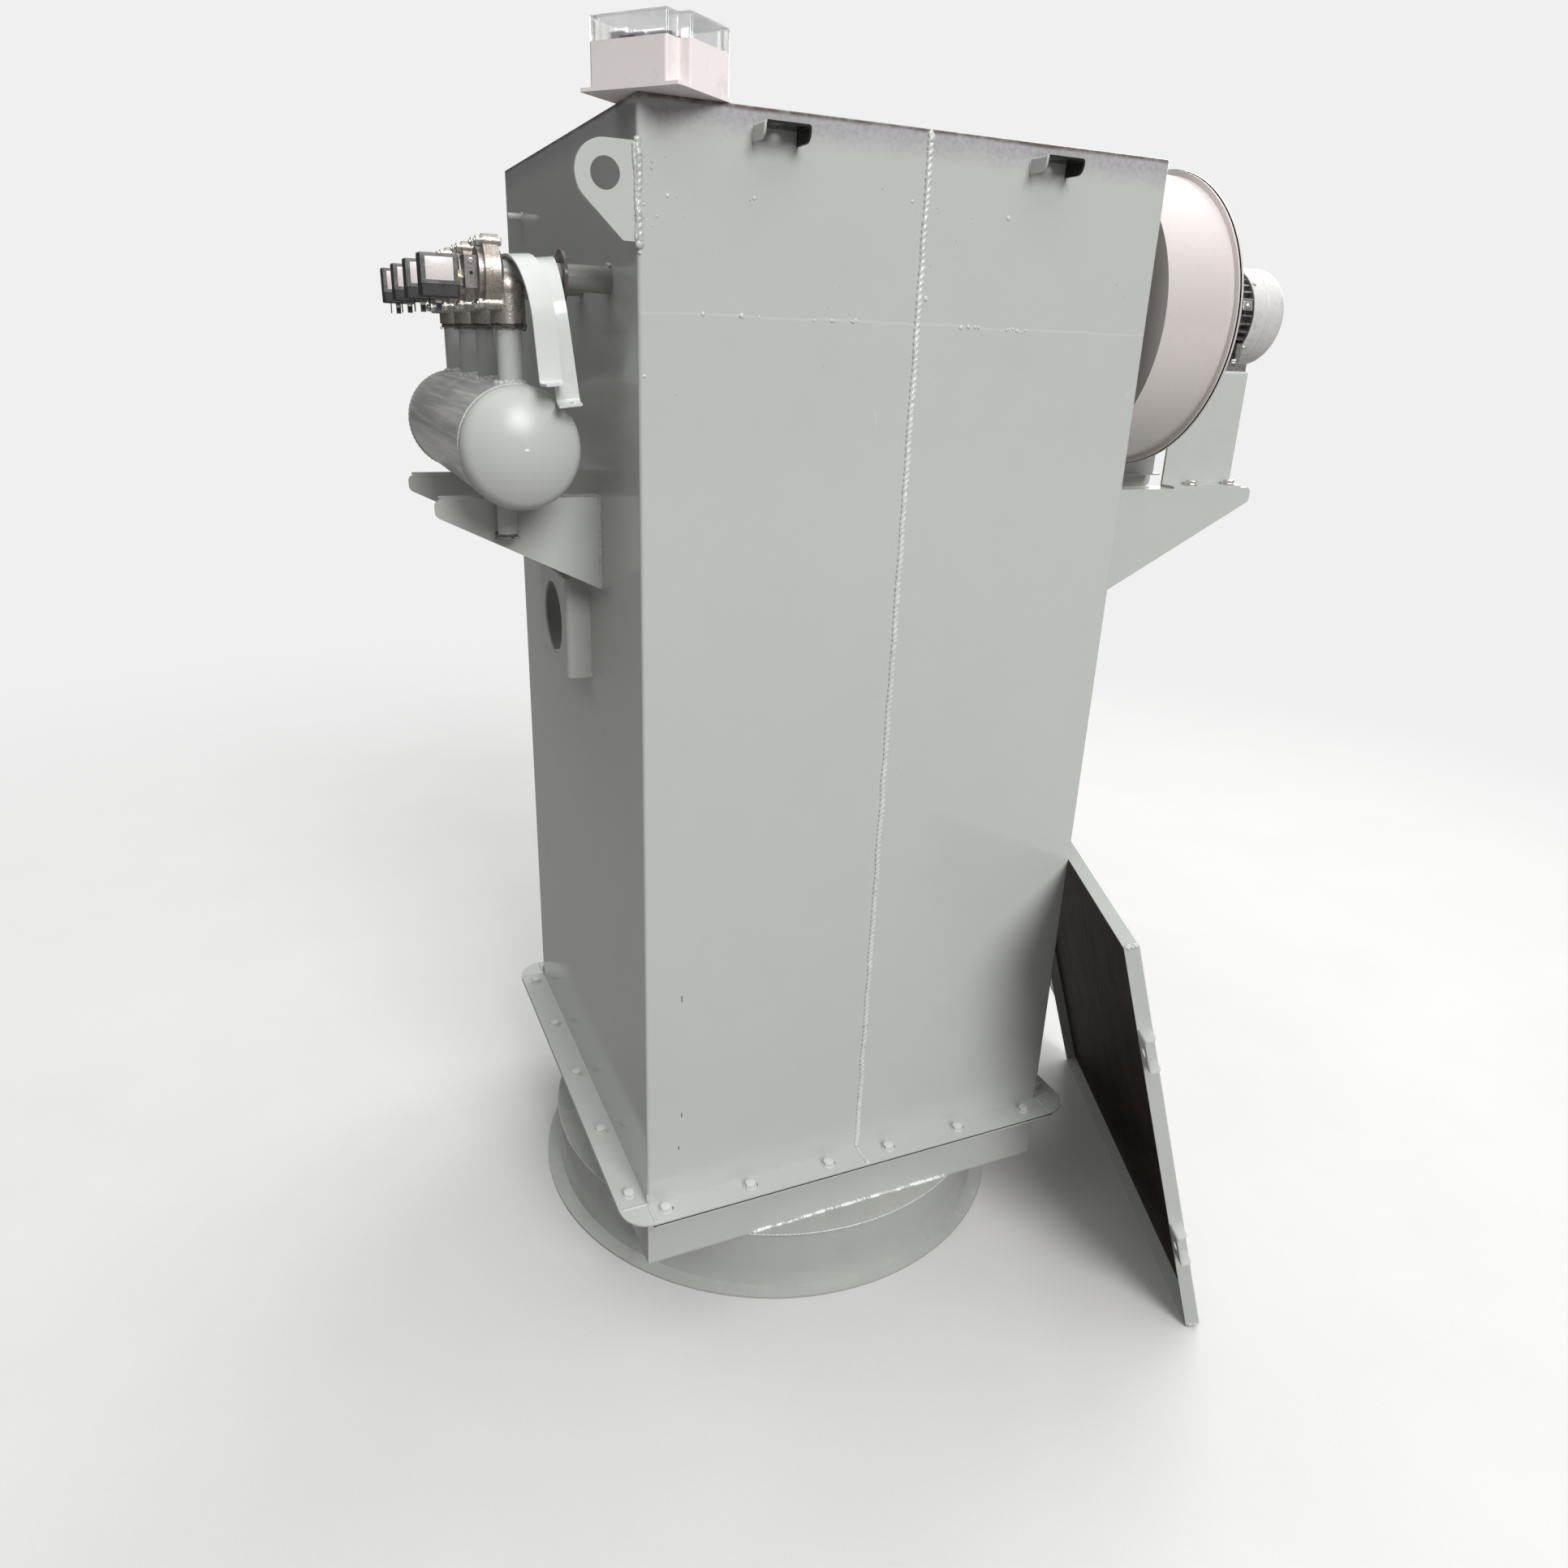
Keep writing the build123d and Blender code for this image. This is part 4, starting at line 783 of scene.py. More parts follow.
def bodyBeads(look):
    # painted highlight: the seams take the paler spot paint
    putPiece("seam_beads", lineBeads(look["seams"]), "spot")
    putPiece("lug_beads", lineBeads(look["lugs"]), "bead")
    corners, feet = [], []
    for turn in range(4):
        # one side's beads, turned by quarters about the upright
        c, s = round(math.cos(turn * math.pi / 2)), round(math.sin(turn * math.pi / 2))
        spin = ((c, -s, 0), (s, c, 0), (0, 0, 1))
        corners += [turnPatch(patch, spin) for patch in lineBeads(look["corner"], turn)]
        feet.append(turnPatch(beadPatch(np.linspace(*look["foot"]), (0, -0.7, 0.7), "foot", 50 + turn), spin))
    putPiece("skirt_beads", corners, "bead")
    centre, up = (0, 0, look["ringLevel"]), (0, 0, 1)
    ring = ringBead(centre, up, look["ringRadius"], 400, "ring", 60, 0.8, (0, 0, -0.3))
    putPiece("ring_beads", [ring], "bead")
    putPiece("foot_beads", feet, "paintedGlintBead")


tankWelds = {"ends": (-0.302, 0.218), "endRadius": 0.0797, "riser": 0.0185, "drain": (-0.541, -0.215, 0.0142)}


def tankBeads(look):
    # ring beads where the ends meet the shell, saddle beads at the risers and at the drain
    patches = [ringBead((tankX, y, tankZ), (0, 1, 0), look["endRadius"], 160, "tank", 70 + step)
               for step, y in enumerate(look["ends"])]
    patches += [saddleBead(tankX, y, look["riser"], 1, "riser", 80 + step) for step, y in enumerate(rows)]
    patches.append(saddleBead(*look["drain"], -1, "thin", 90))
    putPiece("tank_beads", patches, "bead")


bracketWelds = {
    "straight": (
        ("foot", 100, (-0.4, -0.195, 1.274), (-0.4, -0.195, 1.411), (-0.7, -0.7, 0)),
        ("thin", 103, (-0.4, -0.195, 1.4095), (-0.4, -0.155, 1.4095), (-0.5, 0, 0.8)),
        ("foot", 101, (-0.4, 0.111, 1.274), (-0.4, 0.111, 1.411), (-0.7, -0.7, 0)),
        ("thin", 104, (-0.4, 0.111, 1.4095), (-0.4, 0.151, 1.4095), (-0.5, 0, 0.8)),
        ("foot", 110, (0.4, -0.3225, 1.224), (0.4, -0.3225, 1.424), (0.7, -0.7, 0)),
        ("foot", 111, (0.4, -0.0575, 1.224), (0.4, -0.0575, 1.424), (0.7, 0.7, 0)),
        ("foot", 120, (-0.4, -0.122, 1.258), (-0.4, -0.122, 1.270), (-0.6, -0.7, 0)),
        ("foot", 120, (-0.4, 0.068, 1.258), (-0.4, 0.068, 1.270), (-0.6, 0.7, 0)),
        ("foot", 121, (-0.4, -0.122, 1.108), (-0.4, -0.122, 1.120), (-0.6, -0.7, 0)),
        ("foot", 121, (-0.4, 0.068, 1.108), (-0.4, 0.068, 1.120), (-0.6, 0.7, 0))),
    "clipLegs": (-0.2527, -0.1903, 0.1588, 0.2212), "clipLevels": (1.8605, 1.8760),
    "round": (((-0.4003, 0.268, 1.814), (1, 0, 0), 0.0063, 40, "thin", 140, 0.6, (-0.6, 0, 0)),
              ((0.4008, -0.190, 1.705), (1, 0, 0), 0.1255, 200, "thin", 141, 0.7, (0.6, 0, 0))),
    "tackX": -0.4008, "tackRadius": 0.0185, "tackSpan": (60, 118),
}


def bracketBeads(look):
    low, high = look["clipLevels"]
    clips = [("thin", 130, (x, side * half, low), (x, side * half, high), (leg * 0.6, side * 0.6, 0))
             for side in (-1, 1) for x, leg in zip(look["clipLegs"], (-1, 1, -1, 1))]
    patches = lineBeads((*look["straight"], *clips)) + [ringBead(*row) for row in look["round"]]
    # only the top of each pipe is tacked to the wall
    for step, place in enumerate(atValves(look["tackX"], pipeLevel)):
        arc, _ = circle(place, (1, 0, 0), look["tackRadius"], 16, look["tackSpan"])
        patches.append(beadPatch(arc, (-0.8, 0, 0.4), "pipeTack", 150 + step))
    putPiece("bracket_beads", patches, "bead")


coverWelds = {"rise": 0.0026, "inset": 0.0014, "depths": (0.024, 0.002)}


def coverBeads(look, weld):
    # each corner of the pan is welded down its depth
    table = []
    for step, (u, v) in enumerate(((0, 0), (1, 0), (0, 1), (1, 1))):
        lean = unit(coverAlong * (2 * u - 1) + coverUp * (2 * v - 1))
        up = coverUp * (look["width"] * v + weld["rise"] * (1 - v))
        base = coverOrigin + coverAlong * (look["width"] * u) + up - lean * weld["inset"]
        ends = [base - coverOut * depth for depth in weld["depths"]]
        table.append(("coverCorner", 160 + step, *ends, lean))
    putPiece("cover_beads", lineBeads(table), "bead")


def coverInside(look):
    # the coat inside the pan: at (u, v) across and up it stands off the panel
    # by 0.4 mm + sin(pi u) sin(pi v) (1.6 mm + slanting waves)
    width, sheet, count = look["width"], look["sheet"], 61
    side = np.linspace(0, 1, count)
    u, v = np.meshgrid(side, side, indexing="ij")
    dome = np.sin(math.pi * u) * np.sin(math.pi * v)
    slants = (0.0005 * np.sin(2 * math.pi * (2.3 * u + 3.1 * v))
              + 0.0003 * np.sin(2 * math.pi * (5.2 * u - 1.7 * v)))
    off = 0.0004 + dome * (0.0016 + slants)
    reach = sheet + 0.0002 + (width - 2 * sheet - 0.0004) * np.stack([u, v], -1)
    flat = coverOrigin + reach[..., :1] * coverAlong + reach[..., 1:] * coverUp
    front = flat - coverOut * (sheet + off)[..., None]
    back = flat - coverOut * (sheet - 0.0003)
    grid = np.arange(count * count).reshape(count, count)
    quads = np.stack([grid[:-1, :-1], grid[:-1, 1:], grid[1:, 1:], grid[1:, :-1]], -1).reshape(-1, 4)
    # the front looks into the pan, the back copy is turned round, and a strip of quads closes the edge
    edge = np.concatenate([grid[0, :-1], grid[:-1, -1], grid[-1, :0:-1], grid[:0:-1, 0]])
    strip = np.stack([edge, edge + count * count, np.roll(edge, -1) + count * count, np.roll(edge, -1)], -1)
    faces = quads.tolist() + (quads[:, ::-1] + count * count).tolist() + strip.tolist()
    points = np.concatenate([front.reshape(-1, 3), back.reshape(-1, 3)])
    putPiece("cover_inside", [(points, faces)], "coverInside", 40)


bodyBeads(bodyWelds)
tankBeads(tankWelds)
bracketBeads(bracketWelds)
coverBeads(coverLook, coverWelds)
coverInside(coverLook)
print("weld beads are laid")

# small domes: paint nibs, weld spatter and the row of spots where the bar inside is tacked
spotLook = {
    "row": {"x": (-0.315, -0.262, -0.238, -0.158, -0.132, -0.128, -0.103, -0.096, -0.099,
                  0.071, 0.083, 0.094, 0.100, 0.148, 0.152, 0.158, 0.166, 0.180),
            "spread": 0.0012, "size": 0.0029},
    "drips": {"x": (-0.248, -0.022, 0.132, -0.393, -0.362, 0.010),
              "z": (1.798, 1.812, 1.803, 1.585, 1.792, 1.695), "size": 0.0032},
    "frontNibs": 60, "nearSeam": 0.018, "underEdge": 0.16, "leftNibs": 70, "spatter": 60, "lugSpots": 26,
    "lumps": {"x": (-0.3976, -0.3992, 0.0, 0.0015, -0.3970), "z": (1.7365, 1.8480, 1.8700, 1.8865, 1.7270),
              "size": (0.0062, 0.0050, 0.0052, 0.0062, 0.0026)},
}


def domePatch(places, outward, sizes):
    # each dome is rings of radius r cos b at height 0.5 r sin b, closed below and above
    first, second, out = sideways(outward)
    lift, angle = np.radians((-20, 0, 35, 62)), anglesOf(7)
    ring = wheel(angle, first, second)[None] * np.cos(lift)[:, None, None]
    dome, faces = tubePatch(ring + 0.5 * np.sin(lift)[:, None, None] * out)
    places, sizes = np.array(places, float), np.array(sizes, float)
    points = (places[:, None] + dome[None] * sizes[:, None, None]).reshape(-1, 3)
    return points, copyFaces(faces, len(dome), len(places))


def frontDomes(x, z, sizes):
    # domes on the front wall, at (x, -half, z)
    x = np.array(x)
    return domePatch(np.stack([x, 0 * x - half, z], 1), (0, -1, 0), sizes)


def putSpots(look):
    chance = np.random.default_rng(7)
    row, drips, lumps = look["row"], look["drips"], look["lumps"]
    level = barCreaseHighlight["level"] + chance.normal(0, row["spread"], len(row["x"]))
    spots = [frontDomes(row["x"], level, row["size"] * chance.uniform(0.6, 1.25, len(level))),
             frontDomes(drips["x"], drips["z"], drips["size"] * chance.uniform(0.7, 1.2, len(drips["x"])))]
    # painted highlight: the tack spots and drips take the paler spot paint
    putPiece("tack_spots", spots, "spot")
    # most nibs lie near the seam and under the top edge
    count = look["frontNibs"]
    nearX, nearZ = chance.normal(0, look["nearSeam"], count), chance.uniform(0.3, 1.88, count)
    highX = chance.uniform(-0.38, 0.38, count)
    highZ = 1.88 - np.abs(chance.normal(0, look["underEdge"], count))
    sizes = chance.uniform(0.0005, 0.0013, 2 * count)
    patches = [frontDomes(np.append(nearX, highX), np.append(nearZ, highZ), sizes)]
    count = look["leftNibs"]
    y, z = chance.uniform(-0.38, 0.2, count), chance.uniform(0.9, 1.86, count)
    left = np.stack([np.full(count, -half), y, z], 1)
    patches.append(domePatch(left, (-1, 0, 0), chance.uniform(0.0006, 0.0014, count)))
    # spatter on the front of the ring's wall
    count = look["spatter"]
    angle = chance.uniform(math.radians(195), math.radians(345), count)
    around = np.stack([0.451 * np.cos(angle), 0.451 * np.sin(angle), chance.uniform(0.09, 0.124, count)], 1)
    patches.append(domePatch(around, (0, 0, 1), chance.uniform(0.0007, 0.0016, count)))
    patches.append(frontDomes(lumps["x"], lumps["z"], lumps["size"]))
    count = look["lugSpots"]
    x = -half + np.abs(chance.normal(0, 0.012, count))
    patches.append(frontDomes(x, chance.uniform(1.735, 1.856, count), chance.uniform(0.0008, 0.0020, count)))
    putPiece("paint_nibs", patches, "bead")


putSpots(spotLook)

# scratches on the front, each from one (x, z) to another: the dark ones are near black, the rubbed ones pale
scratchLook = {
    "dark_nicks": ("darkHole", ((-0.3403, 0.6577, -0.3402, 0.6451), (-0.3396, 0.4299, -0.3396, 0.4206),
                                (-0.3446, 0.3629, -0.3446, 0.3549))),
    "pale_scratches": ("spot", ((-0.0578, 1.5482, -0.0539, 1.5257), (0.3935, 1.6285, 0.3950, 1.6198),
                                (0.3816, 1.5795, 0.3829, 1.5729))),
}
for name, (finish, ends) in scratchLook.items():
    table = [("scratch", seed, (x, -half, z), (endX, -half, endZ), (0, -1, 0))
             for seed, (x, z, endX, endZ) in enumerate(ends, 400)]
    putPiece(name, lineBeads(table), finish)
print("spots and scratches are on")

# bolts: hexagons with turned-down corners on washers, all painted over at the flange
boltLook = {
    "flangeX": (-0.376, -0.221, -0.069, 0.054, 0.203, 0.354),
    "flangeY": (-0.368, -0.187, -0.001, 0.185, 0.369),
    "out": 0.424, "hexRadius": 0.0100, "headHeight": 0.0072, "nutHeight": 0.0080, "washerRadius": 0.0118,
    "washerThickness": 0.0019, "stud": ((0.0050, 0.0079), (0.0050, 0.0144), (0.0042, 0.0154)),
    "slot": ((0.0058, -0.0003), (0.0058, 0.00015), (0.0055, 0.0002)), "slotShift": 0.0080,
    "gapShadeRun": ((-0.405, -0.4494, 0.2518), (0.405, -0.4434, 0.2552)),
}
footBoltLook = lookTable(
    "hexRadius headHeight washerRadius washerThickness x y z",
    stand_bolts=(0.0096, 0.0064, 0.0118, 0.0019, (0.627, 0.713), (-0.308, -0.072), 1.427),
    motor_foot_bolts=(0.0076, 0.0056, 0.0088, 0.0016, (0.612, 0.712), (-0.2695, -0.1105), 1.627))


def hexRows(radius, low, height, chamfer=0.14):
    # rows of (radius, height, hexagon share): flat sides, then corners turned down to the inner circle
    high = low + height
    return [(radius * 0.86, low, 0.0), (radius * 0.90, low + 0.0002, 0.4),
            (radius, low + radius * chamfer * 0.5, 1.0), (radius, high - radius * chamfer, 1.0),
            (radius * 0.88, high - 0.0002, 0.25), (radius * 0.80, high, 0.0)]


def washerRows(radius, low, thickness, bevel=0.0004):
    # a disc whose two outer edges are cut off by the bevel
    high = low + thickness
    return [(radius - bevel, low), (radius, low + bevel), (radius, high - bevel), (radius - bevel, high)]


def boltPatches(look, places, axis=(0, 0, 1), height="headHeight"):
    # a washer on the face and a hexagon on the washer
    washer = look["washerThickness"]
    return [turned(places, axis, washerRows(look["washerRadius"], -0.0001, washer), 20),
            turned(places, axis, hexRows(look["hexRadius"], washer - 0.0001, look[height]))]


def flangeBolts(look):
    out, xs, ys = look["out"], look["flangeX"], look["flangeY"]
    sides = [(x, -out) for x in xs] + [(-x, out) for x in xs]
    sides += [(-out, y) for y in ys] + [(out, -y) for y in ys]
    under = [(x, y, flangeUnder) for x, y in sides]
    patches = boltPatches(look, [(x, y, flangeTop) for x, y in sides])
    patches += boltPatches(look, under, (0, 0, -1), "nutHeight")
    patches.append(turned(under, (0, 0, -1), look["stud"], 14))
    putPiece("flange_bolts", patches, "bolt", 32)
    # painted shade: dark strips fill the gap between the flanges; near-black discs beside some washers stand
    # for the shade in the slotted holes
    runs = [look["gapShadeRun"]]
    runs += [((-x1, -y1, z0), (-x0, -y0, z1)) for (x0, y0, z0), (x1, y1, z1) in runs]
    runs += [((y0, x0, z0), (y1, x1, z1)) for (x0, y0, z0), (x1, y1, z1) in runs]
    putPiece("flange_gap_shade", [softBlock(*run, 0.0003) for run in runs], "sealStrip", 40)
    # painted shade: a near-black disc on the flange top beside each of these washers
    slots = [(x + look["slotShift"], -out, flangeTop) for x in xs[:5]]
    slots += [(-out, y + look["slotShift"], flangeTop) for y in ys[1:3]]
    putPiece("slot_hole_shade", [turned(slots, (0, 0, 1), look["slot"], 20)], "darkHole", 32)


flangeBolts(boltLook)
for name, look in footBoltLook.items():
    places = [(x, y, look["z"]) for x in look["x"] for y in look["y"]]
    putPiece(name, boltPatches(look, places), "brightNut", 32)
print("bolts are in")

# valves: nuts and studs on the bosses, gasket edge, stem nut, coil yoke, bare plate, vent and plug;
# profiles are rows of (radius, height)
valveLook = {
    "boltTurns": (64, 116, 244, 296), "boltRadius": 0.040, "coverFace": -0.568, "bossEnd": -0.548,
    "nutRadius": 0.0062, "nutHeight": 0.0050, "washerRadius": 0.0068, "headHeight": 0.0042,
    "stud": ((0.0030, 0.006), (0.0030, 0.0092), (0.0024, 0.0099)),
    "gasketX": -0.5601, "gasket": ((0.0383, -0.0004), (0.0403, -0.0004), (0.0404, 0.0), (0.0403, 0.0004),
                                   (0.0383, 0.0004)),
    "stemLevel": 1.693, "stemNutX": -0.5954,
    "stemNut": (0.0108, 0, 0.0053, 0.10),  # radius, low, height, chamfer
    "brassX": -0.5981, "brass": (0.0098, 0, 0.0027),
    "pilotX": -0.5822, "pilotFace": -0.016, "plugLevel": 1.7125, "ventLevel": 1.6985,
    "plug": ((0.0036, -0.0002), (0.0036, 0.0004), (0.0030, 0.0007), (0.0018, 0.0007), (0.0012, 0.0002)),
    "vent": ((0.0021, -0.0003), (0.0021, 0.0001), (0.0018, 0.0002)),
}


def valveBolts(look):
    ring = look["boltRadius"] * wheel(np.radians(look["boltTurns"]), (0, 1, 0), (0, 0, 1))
    front = np.concatenate([ring + place for place in atValves(look["coverFace"], pipeLevel)])
    back = front + (look["bossEnd"] - look["coverFace"], 0, 0)
    outward, inward, near = (-1, 0, 0), (1, 0, 0), (0, -1, 0)
    radius, face = look["nutRadius"], look["pilotFace"]
    nuts = [turned(front, outward, washerRows(look["washerRadius"], -0.0001, 0.0013), 18),
            turned(front, outward, washerRows(radius * 0.92, 0.0013, 0.0014), 18),
            turned(front, outward, hexRows(radius, 0.0027, look["nutHeight"])),
            turned(front, outward, look["stud"], 12),
            turned(back, inward, hexRows(radius, -0.0001, look["headHeight"])),
            turned(atValves(look["stemNutX"], look["stemLevel"]), inward, hexRows(*look["stemNut"]))]
    # a small plug with a countersink on the near face of each pilot block
    plugs = turned(atValves(look["pilotX"], look["plugLevel"], face), near, look["plug"], 18)
    putPiece("pilot_plugs", [plugs], "castAlloy", 32)
    putPiece("valve_nuts", nuts, "brightNut", 32)
    brass = [turned(atValves(look["gasketX"], pipeLevel), inward, look["gasket"], 56),
             turned(atValves(look["brassX"], look["stemLevel"]), inward, washerRows(*look["brass"]), 28)]
    putPiece("brass_rings", brass, "brassRing", 32)
    # painted shade: each vent is a near-black disc
    vents = turned(atValves(look["pilotX"], look["ventLevel"], face), near, look["vent"], 18)
    putPiece("pilot_vents", [vents], "darkHole", 32)


coilLook = {
    "x": (-0.6440, -0.5980), "reach": 0.017, "top": 1.718, "yoke": 0.0009, "yokeLow": 1.6835, "bend": 0.003,
    "inset": 0.0062, "plate": 0.0004,
    "pin": (-0.6220, 1.6580, -0.0006), "pinHole": ((0.0016, -0.0001), (0.0016, 0.0001), (0.0014, 0.00015)),
    "shoulder": ((-0.6258, -0.0009, 1.6620), (-0.6182, 0.0009, 1.6690)),
}


def coilDress(look):
    (x0, x1), thick, low, bend, inset = (look[k] for k in ("x", "yoke", "yokeLow", "bend", "inset"))
    # the yoke is one strip: up the near face, round a small bend and over the top, then down the far face
    bow = np.linspace(0, math.pi / 2, 5)
    side, top = look["reach"] + thick, look["top"] + thick
    rise, run = bend * (1 - np.sin(bow)), bend * (1 - np.cos(bow))
    inner, under, cut = look["reach"] - 0.0005, look["top"] - 0.0005, 0.0017
    outline = np.concatenate([
        [(-side, low)], np.stack([run - side, top - rise], 1),
        np.stack([side - rise, top - run], 1), [(side, low)],
        [(inner, low), (inner, under - cut), (inner - cut, under),
         (cut - inner, under), (-inner, under - cut), (-inner, low)]])
    edges = np.array((x0 + 0.0004, x0 + 0.0009, x1 - 0.0009, x1 - 0.0004))
    middle = outline.mean(0)
    flat = middle + (outline - middle) * np.array((0.985, 1.0, 1.0, 0.985))[:, None, None]
    rings = np.concatenate([np.broadcast_to(edges[:, None, None], (4, len(outline), 1)), flat], -1)
    plate = softBlock((x0 + inset, -side - look["plate"], low + 0.0045),
                      (x1 - inset, -side + 0.0002, look["top"] - 0.0035), 0.0001)
    places = atValves(0, 0)
    putPiece("coil_yokes", [repeatPatch(tubePatch(rings[:, ::-1]), places)], "yokeCoat", 35)
    putPiece("coil_plates", [repeatPatch(plate, places)], "palePlate", 35)
    # each pin has a hole near its end, drawn as a near-black disc of painted shade, and a shoulder above
    holes = turned(atValves(*look["pin"]), (0, -1, 0), look["pinHole"], 14)
    putPiece("pin_holes", [holes], "darkHole", 35)
    shoulders = repeatPatch(softBlock(*look["shoulder"], 0.0002), places)
    putPiece("pin_shoulders", [shoulders], "pinTin", 35)


# thread tape: ragged rings of tape at each neck and at the drain, and loose strands about them
tapeLook = {"riserLevel": 1.6385, "riserRadius": 0.0192, "band": 0.0030, "drain": (-0.541, -0.215, 1.3592),
            "drainRadius": 0.0142, "drainBand": 0.0022, "strands": 5, "strand": 0.0004}


def tapeRing(centre, radius, band, seed):
    # around the axis at angle b: radius + waves(b), height + waves(b); the tube itself is w cos a, h sin a
    chance = np.random.default_rng(seed)
    b, a = anglesOf(96), anglesOf(8)

    def waves(counts, shares):
        # the sum of share sin(count b + start)
        starts = chance.uniform(0, 6.28, len(counts))
        return (np.sin(b[:, None] * np.array(counts) + starts) * shares).sum(1)[:, None]

    wave = waves((3, 5, 8, 13, 21), (0.5, 0.4, 0.35, 0.3, 0.25))
    lift = waves((2, 4, 7, 11), (0.6, 0.4, 0.3, 0.2))
    reach = radius + 0.0006 * wave + 0.0011 * np.cos(a)[None]
    rings = np.array(centre, float) + wheel(b)[:, None] * reach[..., None]
    rings[..., 2] += 0.0007 * lift + band * np.sin(a)[None] * (1 + 0.25 * wave)
    # out x up points against the way round, so the points run the other way
    return tubePatch(rings[:, ::-1], looped=True)


def strandPatches(centre, radius, look, seed):
    # a strand winds round at radius r + waves and height waves, and is itself an oval of 1.8 w cos a, w sin a
    chance = np.random.default_rng(seed)
    grow, made = np.linspace(0.0, 1.0, 22), []
    for _ in range(look["strands"]):
        b = np.linspace(0, chance.uniform(1.5, 4.2), 22) + chance.uniform(0, 6.28)
        r = radius + 0.0015 + 0.0022 * np.abs(np.sin(grow * chance.uniform(3, 8)))
        z = 0.0045 * np.sin(grow * chance.uniform(2, 7) + chance.uniform(0, 3)) - 0.001
        line = np.stack([r * np.cos(b), r * np.sin(b), z], 1) + np.array(centre)
        tangent = unit(np.gradient(line, axis=0))
        first = unit(np.cross((0, 0, 1.0), tangent))
        second, thick = np.cross(tangent, first), look["strand"]
        made.append(tubeAlong(line, first, second, 1.8 * thick, thick, anglesOf(5)))
    return made


def putTape(look):
    # a ring and strands at the neck of each riser, and smaller ones at the drain
    patches = []
    for step, centre in enumerate(atValves(tankX, look["riserLevel"])):
        patches.append(tapeRing(centre, look["riserRadius"], look["band"], 200 + step))
        patches += strandPatches(centre, look["riserRadius"], look, 210 + step)
    x, y, z = look["drain"]
    patches.append(tapeRing((x, y, z + 0.002), look["drainRadius"] - 0.0004, look["drainBand"], 220))
    patches += strandPatches((x, y, z + 0.003), look["drainRadius"], look, 221)
    putPiece("thread_tape", patches, "threadTape", 60)


valveBolts(valveLook)
coilDress(coilLook)
putTape(tapeLook)
print("valves are dressed")

# controller: board with its parts under the clear lid, screws in the foot plate and in the lid's columns
boxLook = {
    "place": (-0.366, -0.373, 1.898), "turn": -53.0, "shift": (0.0075, -0.003, 0),
    "footTop": 0.004, "bodyTop": 0.050, "boardTop": 0.0441, "lidTop": 0.076,
    "footScrew": (0.0625, 0.0455), "lidScrew": (0.0575, 0.048), "board": (0.0430, 0.044, 0.0425),
    "blocks": (  # low x and y, high x and y, height
        (-0.042, -0.040, -0.022, -0.022, 0.016), (-0.016, -0.040, 0.006, -0.026, 0.013),
        (0.012, -0.040, 0.040, -0.030, 0.012), (-0.041, -0.010, -0.026, 0.018, 0.015),
        (0.020, 0.002, 0.042, 0.016, 0.009), (-0.012, -0.008, 0.010, 0.010, 0.005)),
    "cans": ((-0.020, 0.030, 0.005, 0.013), (-0.006, 0.030, 0.004, 0.011), (0.010, 0.028, 0.004, 0.010)),
    "relay": (0.030, -0.024, 0.041, -0.008, 0.010),
    "pan": ((0.0040, -0.0002), (0.0042, 0.0006), (0.0036, 0.0017), (0.0020, 0.0022), (0.0012, 0.0014)),
}


def putController(look):
    turn, up = math.radians(look["turn"]), (0, 0, 1)
    spin = ((math.cos(turn), -math.sin(turn), 0), (math.sin(turn), math.cos(turn), 0), up)
    foot = np.array(look["place"])
    box = foot + np.array(spin) @ look["shift"]
    top, lidTop = look["boardTop"], look["lidTop"]

    def put(name, patches, finish, where=box):
        # from the box's own directions to the machine's
        putPiece(name, [turnPatch(patch, spin, where) for patch in patches], finish, 35)

    def part(row, edge, corner):
        # a block that stands on the board
        x0, y0, x1, y1, height = row
        return softBlock((x0, y0, top - 0.0002), (x1, y1, top + height), edge, corner)

    x, y, z = look["board"]
    put("controller_board", [softBlock((-x, -y, z), (x, y, top), 0.0003, 0.002)], "boardDark")
    dark = [part(row, 0.0006, 0.001) for row in look["blocks"]]
    for x, y, radius, height in look["cans"]:
        can = [(radius, top - 0.0002), (radius, top + height - 0.0008), (radius - 0.0008, top + height)]
        dark.append(turned([(x, y, 0)], up, can, 20))
    put("controller_parts", dark, "partDark")
    put("controller_relay", [part(look["relay"], 0.0005, 0.0008)], "partRed")
    # pan heads with a dip, on the foot's two free corners and, smaller, on shanks through the lid's columns
    (px, py), (cx, cy) = look["footScrew"], look["lidScrew"]
    small = [(r * 0.8, h * 0.4 - 0.0009) for r, h in look["pan"]]
    shank = [(0.0019, look["bodyTop"] - 0.004), (0.0019, lidTop - 0.0040), (0.0010, lidTop - 0.0035)]
    screws = [turned([(x, y, look["footTop"])], up, look["pan"], 18) for x, y in ((px, -py), (-px, py))]
    lidScrews = [turned([(x, y, z)], up, profile, around) for profile, around, z in
                 ((small, 18, lidTop), (shank, 12, 0)) for x, y in ((cx, cy), (-cx, -cy))]
    patches = [turnPatch(patch, spin, foot) for patch in screws]
    patches += [turnPatch(patch, spin, box) for patch in lidScrews]
    putPiece("controller_screws", patches, "brightNut", 35)


putController(boxLook)
print("controller is fitted")

# motor: pressed ridge and screws of the cowl, earth tab on the frame
motorLook = {
    "axis": (-0.190, 1.705), "cowlRadius": 0.080, "ridgeX": 0.7745, "ridge": (0.0010, 0.0005),
    "screwX": 0.7485, "screwTurns": (40, 140, 220, 320),
    "tab": ((0.7200, -0.008, -0.0002), (0.7400, 0.008, 0.0020)),
    "tabTurn": 168, "tabRadius": 0.0748, "tabScrew": (0.730, 0.0766),
    "pan": ((0.0042, -0.0010), (0.0044, 0.0006), (0.0036, 0.0020), (0.0020, 0.0026), (0.0012, 0.0018)),
}


